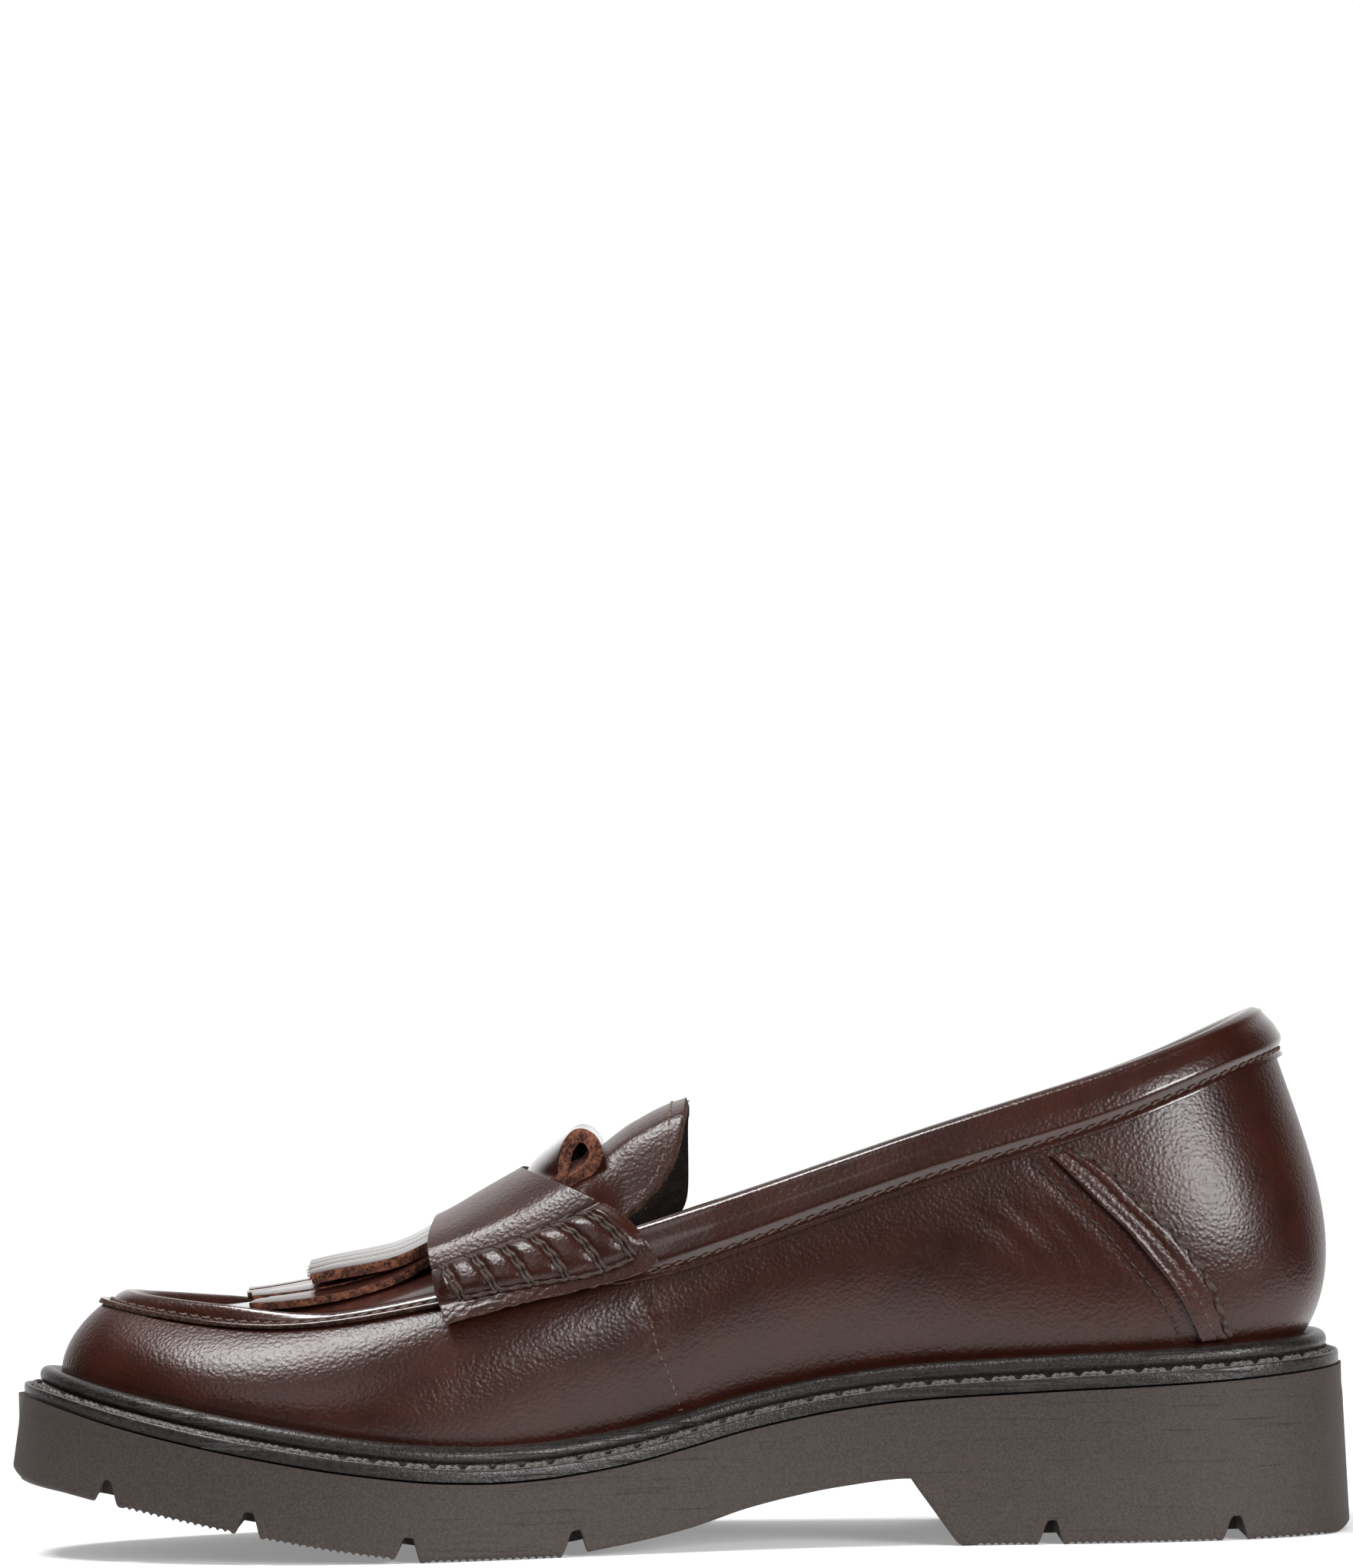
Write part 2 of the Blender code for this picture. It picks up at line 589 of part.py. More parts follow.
def make_apron(parts):
    """The moc toe's plug, laid on the vamp, its sewn edge pinched up into a round rim."""
    first, last = SHARES[CORNER_IN + 1], SHARES[CORNER_OUT - 1]
    columns = [u for u in AROUND if first < u < last]
    rows = [1.0, 1.06, 1.14, 1.25, 1.36, 1.5, 1.62, 1.75, 1.88]

    def top_height(u, v):
        pinch = math.sin(math.pi * min(max((v - 1.03) / 0.44, 0), 1)) ** 1.3
        fade = min(max((RIM_END - shoulder_curve(u)[0]) / RIM_FADE, 0.0), 1.0)
        return SEAT_GAP + OVERLAY + RIM_HEIGHT * pinch * fade

    form = slab(columns, rows, lambda u, v: upper_offset(u, v, SEAT_GAP),
                lambda u, v: upper_offset(u, v, top_height(u, v)))
    return add_object("apron", form, parts, LEATHER_FINISH)


def band_point(u, along, height):
    """A point by the collar: along runs up to 0 at the topline and past it, in millimetres."""
    length = np.linalg.norm(top_curve(u) - shoulder_curve(u))
    v = 2 + min(along, 0.0) / length
    point = upper_offset(u, v, height)
    rise = upper_point(u, 1.999) - upper_point(u, 1.95)
    return point + max(along, 0.0) * rise / np.linalg.norm(rise)


def make_band(parts):
    """The collar's padded band, folded over the topline, with its two front ends under the strap."""
    first = float(np.interp(BAND_FRONT, INNER_SIDE[0], INNER_SIDE[3]))
    last = float(np.interp(BAND_FRONT, OUTER_SIDE[0], OUTER_SIDE[3]))
    columns = [u - 1.0 for u in AROUND if last < u < 1.0] + [u for u in AROUND if u < first]
    inside = -LEATHER - SEAT_GAP - 0.1

    def place(u, index):
        length = float(np.linalg.norm(top_curve(u) - shoulder_curve(u)))
        x = shoulder_curve(u)[0]
        pad = BAND_PAD * min(max((x - BAND_FRONT) / 26.0, 0.25), 1.0)
        profile = [
            (-length, SEAT_GAP), (-length, SEAT_GAP + 1.0), (-length * 0.72, SEAT_GAP + 0.9 + pad),
            (-length * 0.3, SEAT_GAP + 0.9 + pad), (0.3, SEAT_GAP + 1.0), (1.2, -0.9), (0.3, inside - 1.0),
            (-length * 0.42, inside - 1.1), (-length * 0.42, inside), (0.3, inside), (0.3, SEAT_GAP),
            (-length * 0.35, SEAT_GAP), (-length * 0.7, SEAT_GAP),
        ]
        return band_point(u % 1.0, *profile[int(index)])

    form = shaped_grid(columns, list(range(13)) + [0], place, tube=True)
    bmesh.ops.holes_fill(form, edges=form.edges, sides=0)
    bmesh.ops.triangulate(form, faces=[face for face in form.faces if len(face.verts) > 4])
    bmesh.ops.recalc_face_normals(form, faces=form.faces)
    return add_object("collar_band", form, parts, LEATHER_FINISH)


def wall_share(x, z, side):
    """The share and height on the quarter's outer face that lie at x and z on one side."""
    u = float(side_at(x, side)[2])
    v = 0.5
    for _ in range(12):
        point = upper_point(u, v)
        v = min(max(v + (z - point[2]) / 55.0, 0.14), 0.99)
        reach = upper_point(u + 0.002, v)[0] - upper_point(u - 0.002, v)[0]
        u += (x - upper_point(u, v)[0]) * 0.004 / reach
    return u, v


def make_heel_strip(name, side, parts):
    """A narrow strip that hides the joint of quarter and heel piece."""
    def place(across, step, height):
        x, z = STRIP_LINE[int(step)]
        u, v = wall_share(x + across * STRIP_WIDTH / 2, z + across * 1.4, side)
        return upper_offset(u, v, height)

    form = slab([-1.0, 0.0, 1.0], list(range(len(STRIP_LINE))), lambda a, b: place(a, b, SEAT_GAP + 0.1),
                lambda a, b: place(a, b, SEAT_GAP + 1.2 - 0.2 * abs(a)))
    return add_object(name, form, parts, LEATHER_FINISH)


def make_tongue(parts):
    """The arched tongue, from under the kiltie to its rounded end over the opening."""
    def place(across, along, height):
        y = MIDDLE_Y + across * TONGUE_HALF
        side_end = TONGUE_END_INNER if across < 0 else TONGUE_END_OUTER
        end = TONGUE_END + (side_end - TONGUE_END) * abs(across) ** 4.5
        x = TONGUE_START + along * (end - TONGUE_START)
        return np.array([x, y, lifted(x, y, height)])

    columns = np.sin(np.linspace(-1.0, 1.0, 15) * math.pi / 2)
    form = slab(columns, np.linspace(0, 1, 9), lambda a, b: place(a, b, TONGUE_SEAT),
                lambda a, b: place(a, b, TONGUE_SEAT + TONGUE_THICKNESS))
    return add_object("tongue", form, parts, LEATHER_FINISH)


def make_kiltie(parts):
    """One piece of leather, cut into fringe at both ends and folded behind the strap."""
    path = [("flat", *row) for row in FRINGE_UNDER] + [("fold", *row) for row in FOLD]
    path += [("flat", *row) for row in FRINGE_OVER]
    strips = FRINGE_STRIPS
    edges = []
    for strip in range(strips):
        edges += [strip + 0.07, strip + 0.93]
    columns = [edge / strips * 2 - 1 for edge in edges]

    def place(across, index):
        row = path[int(index)]
        if row[0] == "fold":
            y = MIDDLE_Y + across * FOLD_HALF
            t = abs(across) ** 3
            return np.array([(1 - t) * row[1] + t * row[3], y, (1 - t) * row[2] + t * row[4]])
        x, height, half = row[1:]
        y = middle_and_half(x)[0] + across * half
        if index in (0, len(path) - 1):
            slant = round((across + 1) / 2 * strips * 2) % 2
            x += 1.6 * slant + 2.0 * across * across
        return np.array([x, y, lifted(x, y, height)])

    def keep(across, index):
        between = abs(((across + 1) / 2 * strips) - round((across + 1) / 2 * strips)) < 0.05
        return not (between and (index < 3.9 or index > len(path) - 5.1))

    form = shaped_grid(columns, list(range(len(path))), place, keep=keep)
    bmesh.ops.recalc_face_normals(form, faces=form.faces)
    kiltie = add_object("kiltie", form, parts, LEATHER_FINISH)
    wall = kiltie.modifiers.new("wall", "SOLIDIFY")
    wall.thickness = KILTIE_THICKNESS * MM
    wall.offset = 0.0
    wall.use_even_offset = True
    return kiltie


def make_strap(parts):
    """The saddle strap over the instep, its sewn roll near each lower edge."""
    front_x, front_q = curve([row[:2] for row in STRAP]), curve([(row[0], row[2]) for row in STRAP])
    rear_x, rear_q = curve([(row[0], row[3]) for row in STRAP]), curve([(row[0], row[4]) for row in STRAP])
    front_lift = curve([row[:2] for row in STRAP_LIFT])
    rear_lift = curve([(row[0], row[2]) for row in STRAP_LIFT])
    half_rows = [0.0, 0.2, 0.4, 0.55, 0.68, 0.78, 0.815, 0.855, 0.895, 0.93, 1.0]
    steps = [-s for s in reversed(half_rows[1:])] + half_rows

    def place(step, along, height):
        s = abs(step)
        side = 1.0 if step > 0 else -1.0
        x = float((1 - along) * front_x(s) + along * rear_x(s))
        q = side * float((1 - along) * front_q(s) + along * rear_q(s))
        lift = float((1 - along) * front_lift(s) + along * rear_lift(s))
        roll = math.sin(math.pi * min(max((s - ROLL_FIRST) / (ROLL_LAST - ROLL_FIRST), 0), 1))
        lobe = ROLL_NECK + (1 - ROLL_NECK) * abs(math.sin(math.pi * ROLL_LOBES * along))
        if height:
            lift += STRAP_THICKNESS + ROLL_HEIGHT * roll * lobe
        return section_offset(x, q, lift)

    form = slab(steps, np.linspace(0, 1, 11), lambda a, b: place(a, b, 0), lambda a, b: place(a, b, 1))
    return add_object("strap", form, parts, LEATHER_FINISH)


def build():
    for leftover in list(bpy.data.objects):
        bpy.data.objects.remove(leftover)
    parts = bpy.data.collections.new("kiltie_loafer")
    helpers = bpy.data.collections.new("helpers")
    for collection in (parts, helpers):
        bpy.context.scene.collection.children.link(collection)
    make_outsole(parts, helpers)
    make_welt(parts)
    make_insole(parts, helpers)
    make_upper(parts)
    make_apron(parts)
    make_band(parts)
    make_heel_strip("heel_strip_inner", INNER_SIDE, parts)
    make_heel_strip("heel_strip_outer", OUTER_SIDE, parts)
    make_tongue(parts)
    make_kiltie(parts)
    make_strap(parts)


build()
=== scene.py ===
# %% [markdown]
# # A kiltie loafer, dressed over its solids
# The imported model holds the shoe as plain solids: a lug sole, a storm welt, a hollow upper and the leather
# pieces sewn over it. This lesson keeps their places and sizes and builds each one again with the things that
# a shoemaker sees: raw cut edges, seams, thread, grain and the polish on the leather.

import math

import bpy
import numpy as np
from mathutils import Matrix, Vector


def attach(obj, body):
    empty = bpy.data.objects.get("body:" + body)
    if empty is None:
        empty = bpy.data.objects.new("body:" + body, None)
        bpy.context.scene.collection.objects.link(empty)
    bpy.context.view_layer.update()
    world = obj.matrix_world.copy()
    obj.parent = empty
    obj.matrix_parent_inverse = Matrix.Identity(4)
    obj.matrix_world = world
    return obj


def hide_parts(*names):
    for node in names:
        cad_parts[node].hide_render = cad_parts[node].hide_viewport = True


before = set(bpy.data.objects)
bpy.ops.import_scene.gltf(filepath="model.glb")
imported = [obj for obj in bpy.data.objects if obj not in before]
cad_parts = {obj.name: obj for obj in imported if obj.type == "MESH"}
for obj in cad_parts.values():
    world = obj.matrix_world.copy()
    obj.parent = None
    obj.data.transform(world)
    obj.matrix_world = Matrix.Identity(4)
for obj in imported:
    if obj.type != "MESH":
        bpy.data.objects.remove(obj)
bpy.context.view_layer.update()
MM = 0.001
print("solids:", ", ".join(sorted(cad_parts)))

# %% [markdown]
# ## The camera
# The photograph looks straight at the inner side of a right shoe through a long lens, from a little above
# the collar. A long lens keeps the toe and the heel at one scale. The shoe sits low in a tall frame, and
# a lens shift does that without tilting the camera, so uprights stay upright.

# %% Camera
swing = math.radians(1.2)
lens = bpy.data.cameras.new("camera")
lens.sensor_fit = "VERTICAL"
lens.sensor_height = 36.0
lens.lens = 171.95
lens.shift_x, lens.shift_y = 0.0044, 0.115
camera = bpy.data.objects.new("camera", lens)
right = Vector((math.cos(swing), 0.0, -math.sin(swing)))
up = Vector((math.sin(swing), 0.0, math.cos(swing)))
camera.matrix_world = Matrix((
    (right.x, up.x, 0.0, 0.0), (0.0, 0.0, -1.0, -1.5), (right.z, up.z, 0.0, 0.115), (0.0, 0.0, 0.0, 1.0)))
bpy.context.scene.collection.objects.link(camera)
bpy.context.scene.camera = camera
print("camera at", tuple(round(value, 3) for value in camera.matrix_world.translation))

# %% [markdown]
# ## The last
# A shoe is built over a last, a solid foot shape. Everything on this one is measured from the last, as in
# the solids: the edge of the welt in plan, the shoulder line where the moc seam and the collar's band run,
# and the topline. All lengths in the tables are millimetres, with the toe along -X and the inner side -Y.

# %% Sizes of the shoe
SOLE_HALF_LENGTH = 133.6
SEAT_GAP, BEAD_TOP, BEAD_RADIUS = 0.3, 6.9, 2.05
LEATHER, OVERLAY, RIM_HEIGHT, BAND_PAD = 1.8, 1.3, 2.6, 1.3
INSOLE_THICKNESS, TONGUE_THICKNESS, STRAP_THICKNESS = 3.5, 1.5, 1.6
GROOVE_HEIGHT, ROLL_HEIGHT, FRINGE_STRIPS, WALL_START = 4.7, 3.2, 9, 0.12

DECK = [
    (-134, 32.4), (-124, 30.0), (-114, 27.3), (-102, 24.4), (-84, 20.6), (-63, 17.0), (-45, 15.0),
    (-36, 14.7), (-28, 15.0), (-18, 16.1), (-9, 17.6), (2, 20.3), (13, 23.2), (22, 25.1), (31, 26.7),
    (46, 28.4), (71, 29.6), (103, 30.8), (118, 31.7), (134, 33.0),
]
UNDERSIDE = [
    (-133.6, 17.0), (-131.0, 15.3), (-121, 13.3), (-112, 11.4), (-98, 8.4), (-83, 5.4),
    (-68, 2.6), (-56, 0.8), (-50, 0.0), (-24, 0.0), (-17, 1.1), (-8, 2.6), (2, 4.8), (13, 8.2),
    (22, 10.3), (31, 11.9), (45, 13.3), (46, 11.87), (49, 7.58), (52.6, 2.43), (53.6, 1.0), (55.0, 0.0),
    (129.5, 0.0), (134.0, 1.8),
]
GROOVES = [-112.6, -84.0, -52.9, -20.5, 72.4, 108.7]
UPPER_INSET = [(-134, 7.5), (-60, 7.2), (30, 6.9), (134, 6.6)]
RIDGE_LINE = [
    (-114.8, 49.4), (-110, 48.2), (-105, 47.3), (-95, 46.9), (-85, 47.5), (-74, 49.4), (-66, 51.3),
    (-55, 54.2), (-47, 57.0), (-42, 59.1), (-34, 63.5), (-30.5, 65.4), (-20, 71.2), (-14, 75.1),
    (-7, 80.0), (0, 83.6), (6, 85.6),
]
CROWN_POWER = [(-115, 2.6), (-60, 2.4), (-35, 2.4), (-15, 3.0), (10, 3.2)]
print(f"sole {2 * SOLE_HALF_LENGTH:.1f} mm long, {len(GROOVES)} grooves")

# %% Ribs of the last
# Welt edge x and y, shoulder point, flare, lean and, behind the throat, the topline's point
LAST = [
    (131.9, -0.5, (121.0, -0.5, 94.0), 34, 18, (116.2, -0.5, 103.0)),
    (126.0, -22.5, (113.0, -19.1, 91.2), 31, 16, (109.6, -17.3, 100.2)),
    (110.0, -32.5, (101.0, -27.1, 86.6), 26, 12, (99.0, -24.9, 96.0)),
    (85.0, -35.0, (83.0, -30.3, 80.0), 22, 10, (82.0, -28.3, 90.4)),
    (50.0, -32.5, (50.0, -31.5, 70.7), 26, 10, (50.0, -29.5, 81.0)),
    (20.0, -32.5, (20.0, -31.9, 60.8), 24, 12, (20.0, -29.5, 71.4)),
    (-8.0, -37.5, (-8.0, -33.1, 52.9), 16, 20, (-8.0, -29.9, 62.6)),
    (-25.0, -42.3, (-25.0, -34.1, 51.2), 14, 38, (-19.5, -27.9, 59.8)),
    (-40.0, -46.5, (-40.0, -33.9, 49.6), 12, 48, None),
    (-58.0, -49.0, (-58.0, -32.9, 46.6), 12, 52, None),
    (-80.0, -46.5, (-79.0, -29.3, 44.6), 12, 54, None),
    (-100.0, -39.5, (-96.0, -22.3, 45.9), 10, 54, None),
    (-117.0, -28.0, (-108.0, -14.1, 48.0), -4, 54, None),
    (-127.0, -16.0, (-113.2, -8.1, 49.2), -4, 54, None),
    (-130.5, -4.0, (-114.7, -2.5, 49.5), -4, 54, None),
    (-127.2, 8.0, (-113.0, 3.1, 49.2), -4, 54, None),
    (-117.0, 21.0, (-107.4, 9.7, 47.9), -4, 54, None),
    (-100.0, 33.0, (-95.5, 19.1, 45.7), 10, 54, None),
    (-80.0, 41.5, (-79.0, 26.9, 44.2), 12, 54, None),
    (-57.0, 47.5, (-57.0, 31.5, 46.2), 12, 52, None),
    (-38.0, 49.0, (-38.0, 33.1, 49.2), 12, 48, None),
    (-22.0, 48.1, (-23.5, 33.5, 50.8), 14, 38, (-19.5, 28.1, 59.4)),
    (-5.0, 45.3, (-6.0, 32.9, 52.8), 18, 20, (-6.5, 29.9, 61.3)),
    (20.0, 40.1, (20.0, 31.9, 60.0), 22, 12, (20.0, 29.5, 69.0)),
    (50.0, 36.1, (50.0, 30.7, 69.9), 24, 10, (50.0, 28.7, 78.8)),
    (85.0, 34.7, (83.0, 29.3, 79.5), 22, 10, (82.0, 27.3, 88.6)),
    (110.0, 31.9, (101.0, 26.1, 86.3), 24, 12, (99.0, 23.9, 94.7)),
    (126.0, 21.5, (113.0, 18.1, 91.1), 29, 16, (109.6, 16.3, 99.6)),
]
THROAT_CENTRE = (-27.0, 0.1)
EDGE = np.array([rib[:2] for rib in LAST])
print(len(LAST), "ribs round the last")

# %% [markdown]
# ## Smooth lines through a few points
# Two kinds of line carry the whole shoe. An open one never swings past its points, which suits profiles.
# A closed one runs round the shoe with no kink, as a lasted shoe has none. Both take whole arrays, because
# a fine surface asks for tens of thousands of points at once.

# %% Open and closed curves
def unit(vectors):
    return vectors / np.linalg.norm(vectors, axis=-1, keepdims=True)


def curve(rows):
    """A smooth curve through (x, value) rows that never swings past them."""
    xs, ys = (np.array(column, float) for column in zip(*rows))
    step = np.diff(xs)
    slope = np.diff(ys) / step
    tangent = np.zeros_like(xs)
    tangent[0], tangent[-1] = slope[0], slope[-1]
    for i in range(1, len(xs) - 1):
        if slope[i - 1] * slope[i] > 0:
            near, far = 2 * step[i] + step[i - 1], step[i] + 2 * step[i - 1]
            tangent[i] = (near + far) / (near / slope[i - 1] + far / slope[i])

    def value(x):
        x = np.clip(x, xs[0], xs[-1])
        i = np.clip(np.searchsorted(xs, x, side="right") - 1, 0, len(step) - 1)
        t = (x - xs[i]) / step[i]
        rise, leave, arrive = t * t * (3 - 2 * t), t * (1 - t) ** 2, -t * t * (1 - t)
        return ys[i] + rise * (ys[i + 1] - ys[i]) + step[i] * (leave * tangent[i] + arrive * tangent[i + 1])

    return value


def closed_curve(shares, points):
    """A periodic cubic spline through points at increasing shares of one turn."""
    points = np.array(points, float)
    count = len(points)
    step = np.diff(np.append(shares, shares[0] + 1.0))
    system, load = np.zeros((count, count)), np.zeros_like(points)
    for i in range(count):
        before, after, later = step[i - 1], step[i], (i + 1) % count
        system[i, i - 1], system[i, i], system[i, later] = before, 2 * (before + after), after
        load[i] = 6 * ((points[later] - points[i]) / after - (points[i] - points[i - 1]) / before)
    bend = np.linalg.solve(system, load)

    def value(u):
        u = np.asarray(u) % 1.0
        i = np.searchsorted(shares, u, side="right") - 1
        h = step[i]
        after = ((u - shares[i]) / h)[..., None]
        before, j = 1 - after, (i + 1) % count
        arch = (before**3 - before) * bend[i] + (after**3 - after) * bend[j]
        return before * points[i] + after * points[j] + arch * (h * h)[..., None] / 6

    return value


deck, foot_line = curve(DECK), curve(UNDERSIDE)
ridge_line, crown_power, upper_inset = curve(RIDGE_LINE), curve(CROWN_POWER), curve(UPPER_INSET)
lengths = np.linalg.norm(np.roll(EDGE, -1, axis=0) - EDGE, axis=1)
SHARES = np.append(0.0, np.cumsum(lengths)[:-1]) / lengths.sum()
edge_curve = closed_curve(SHARES, EDGE)
shoulder_curve = closed_curve(SHARES, [rib[2] for rib in LAST])
angle_curve = closed_curve(SHARES, [rib[3:5] for rib in LAST])
untopped = [i for i, rib in enumerate(LAST) if rib[5] is None]
CORNER_IN, CORNER_OUT = untopped[0] - 1, untopped[-1] + 1
TOE = int(np.argmin(EDGE[:, 0]))
print(f"once round the welt's edge is {lengths.sum():.0f} mm")

# %% [markdown]
# ## The upper's face
# Every leather piece lies on the face of the upper, so one function gives that face. Its two numbers are
# the share of the way round, and the height: 0 at the welt, 1 on the shoulder line, 2 at the topline.

# %% Welt edge and vamp crown
def outward(u):
    """The level direction that faces away from the shoe."""
    along = edge_curve(u + 1e-4) - edge_curve(u - 1e-4)
    return unit(np.stack([-along[..., 1], along[..., 0]], -1))


def edge_point(u, inset, above_deck):
    """A point inset from the welt's edge, at a height above the outsole's top."""
    xy = edge_curve(u) - np.asarray(inset)[..., None] * outward(u)
    return np.concatenate([xy, (deck(xy[..., 0]) + above_deck)[..., None]], -1)


def shoulder_side(first, last):
    """The shoulder line from one share to another, sorted by x: its x, y, z and share."""
    shares = np.linspace(first, last, 241)
    walk = shoulder_curve(shares)
    order = np.argsort(walk[:, 0])
    return walk[order, 0], walk[order, 1], walk[order, 2], shares[order]


INNER_SIDE, OUTER_SIDE = shoulder_side(0.0, SHARES[TOE]), shoulder_side(SHARES[TOE], 1.0)


def by_side(x, is_inner, value):
    """One column of the shoulder tables at x, read on the side that each point is on."""
    inner, outer = (np.interp(x, side[0], side[value]) for side in (INNER_SIDE, OUTER_SIDE))
    return np.where(is_inner, inner, outer)


def middle_and_half(x):
    """The vamp's middle y and its half width between the shoulder lines at x."""
    inner, outer = (np.interp(x, side[0], side[1]) for side in (INNER_SIDE, OUTER_SIDE))
    return (inner + outer) / 2, np.maximum((outer - inner) / 2, 0.5)


def crown_height(x, y):
    """Height of the vamp between its two shoulder lines."""
    middle, half = middle_and_half(x)
    q = np.clip((y - middle) / half, -1.0, 1.0)
    high = ridge_line(x)
    return high - (high - by_side(x, q < 0, 2)) * np.abs(q) ** crown_power(x)


def lifted(x, y, height):
    """A point of a layer that lies on the vamp, at a thickness over the last."""
    slope_x = crown_height(x + 0.5, y) - crown_height(x - 0.5, y)
    slope_y = crown_height(x, y + 0.5) - crown_height(x, y - 0.5)
    z = crown_height(x, y) + height * np.sqrt(1 + slope_x**2 + slope_y**2)
    return np.stack(np.broadcast_arrays(x, y, z), -1)


print(f"the vamp's ridge climbs from {ridge_line(-95.0):.1f} to {ridge_line(0.0):.1f} mm")

# %% Topline and the whole face
top_knots = []
for i, rib in enumerate(LAST):
    if rib[5] is not None:
        top_knots.append(rib[5])
        continue
    share = (SHARES[i] - SHARES[CORNER_IN]) / (SHARES[CORNER_OUT] - SHARES[CORNER_IN])
    corner, far_corner = LAST[CORNER_IN][5], LAST[CORNER_OUT][5]
    y = corner[1] + share * (far_corner[1] - corner[1])
    x = THROAT_CENTRE[0] + (corner[0] - THROAT_CENTRE[0]) * (2 * share - 1) ** 2
    top_knots.append((x, y, float(crown_height(x, y))))
top_curve = closed_curve(SHARES, top_knots)


def arc(start, start_way, end, end_way, t):
    """A curve from start to end with given ways at its two ends."""
    length = np.linalg.norm(end - start, axis=-1, keepdims=True)
    rise, leave, arrive = t * t * (3 - 2 * t), t * (1 - t) ** 2, -t * t * (1 - t)
    return start + rise * (end - start) + length * (leave * start_way + arrive * end_way)


def smooth(t):
    t = np.clip(t, 0.0, 1.0)
    return t * t * (3 - 2 * t)


NEAR_REACH = 9.0  # v runs from 1 to 1.5 over this many millimetres past the shoulder line


def upper_point(u, v):
    """The upper's outer face: v is 0 at the welt, 1 on the shoulder line and 2 at the collar or throat."""
    u, v = np.broadcast_arrays(np.asarray(u, float) % 1.0, np.asarray(v, float))
    inset = upper_inset(edge_curve(u)[..., 0])
    foot, low = edge_point(u, inset, BEAD_TOP), edge_point(u, inset, SEAT_GAP)
    shoulder, top = shoulder_curve(u), top_curve(u)
    angles = np.radians(angle_curve(u))[..., None]
    flare, lean = angles[..., 0, :], angles[..., 1, :]
    out = np.concatenate([outward(u), np.zeros(u.shape + (1,))], -1)
    rising = np.array([0.0, 0.0, 1.0])
    leave = np.sin(flare) * out + np.cos(flare) * rising
    arrive = -np.sin(lean) * out + np.cos(lean) * rising
    height = v[..., None]
    foot_wall = low + height / WALL_START * (foot - low)
    wall = arc(foot, leave, shoulder, arrive, (height - WALL_START) / (1 - WALL_START))
    span = top - shoulder
    near = np.minimum(NEAR_REACH / np.linalg.norm(span[..., :2], axis=-1, keepdims=True), 0.5)
    t = height - 1
    t = np.where(t < 0.5, 2 * t * near, near + (2 * t - 1) * (1 - near))
    collar = arc(shoulder, arrive, top, unit(span), t)
    over = shoulder + t * span
    over[..., 2] = crown_height(over[..., 0], over[..., 1])
    start = (u - SHARES[CORNER_IN - 1]) / (SHARES[CORNER_IN] - SHARES[CORNER_IN - 1])
    end = (SHARES[CORNER_OUT + 1] - u) / (SHARES[CORNER_OUT + 1] - SHARES[CORNER_OUT])
    vamp = smooth(np.minimum(start, end))[..., None]
    above = vamp * over + (1 - vamp) * collar
    return np.where(height <= WALL_START, foot_wall, np.where(height <= 1, wall, above))


print("topline rises to", round(float(top_curve(0.0)[2]), 1), "mm at the heel")

# %% Directions out of the face
def upper_way(u, v, reach=0.04):
    """The direction out of the upper, turning slowly across the shoulder line."""
    ways = 0.0
    for shift in (-reach, reach):
        at = np.clip(v + shift, 3e-3, 1.997)
        one = upper_point(u + 2e-3, at) - upper_point(u - 2e-3, at)
        two = upper_point(u, at + 2e-3) - upper_point(u, at - 2e-3)
        ways = ways + unit(np.cross(two, one))
    return unit(ways)


def upper_offset(u, v, height):
    return upper_point(u, v) + np.asarray(height)[..., None] * upper_way(u, v)


def section_point(x, q):
    """The last at x: q runs from -1 to 1 across the vamp, and past that down the wall on either side."""
    x, q = np.broadcast_arrays(np.asarray(x, float), np.asarray(q, float))
    down = upper_point(by_side(x, q < 0, 3), np.clip(2 - np.abs(q), 0, 1))
    middle, half = middle_and_half(x)
    y = middle + q * half
    over = np.stack([x, y, crown_height(x, y)], -1)
    return np.where((np.abs(q) > 1)[..., None], down, over)


def section_way(x, q):
    """The direction out of the last at x and q."""
    ways = 0.0
    for shift in (-0.08, 0.0, 0.08):
        one = section_point(x + 0.4, q + shift) - section_point(x - 0.4, q + shift)
        two = section_point(x, q + shift + 0.02) - section_point(x, q + shift - 0.02)
        ways = ways + unit(np.cross(one, two))
    return unit(ways)


def wall_place(x, z, inner=True):
    """The share and height on the quarter's outer face that lie at x and z on one side."""
    x, z = np.asarray(x, float), np.asarray(z, float)
    u, v = by_side(x, inner, 3), np.full_like(x, 0.5)
    for _ in range(14):
        v = np.clip(v + (z - upper_point(u, v)[..., 2]) / 55.0, 0.14, 0.99)
        reach = upper_point(u + 0.002, v)[..., 0] - upper_point(u - 0.002, v)[..., 0]
        u = u + (x - upper_point(u, v)[..., 0]) * 0.004 / reach
    return u, v


print("the quarter's face at x 60 leans", np.round(upper_way(wall_place(60.0, 55.0)[0], 0.5), 2))

# %% [markdown]
# ## From a flat grid to a form
# Leather starts flat and is pulled over a form. The same happens here: a flat grid primitive is added, its
# points are moved onto a computed form, doubled points are merged, and a Solidify modifier gives the leather
# its thickness. Sculpting by hand could not follow the solids this closely, so the points move in code.

# %% Grid, wall and edge helpers
def only(*pieces):
    """Selects these pieces and nothing else, the first one active."""
    bpy.ops.object.select_all(action="DESELECT")
    for piece in pieces:
        piece.select_set(True)
    bpy.context.view_layer.objects.active = pieces[0]


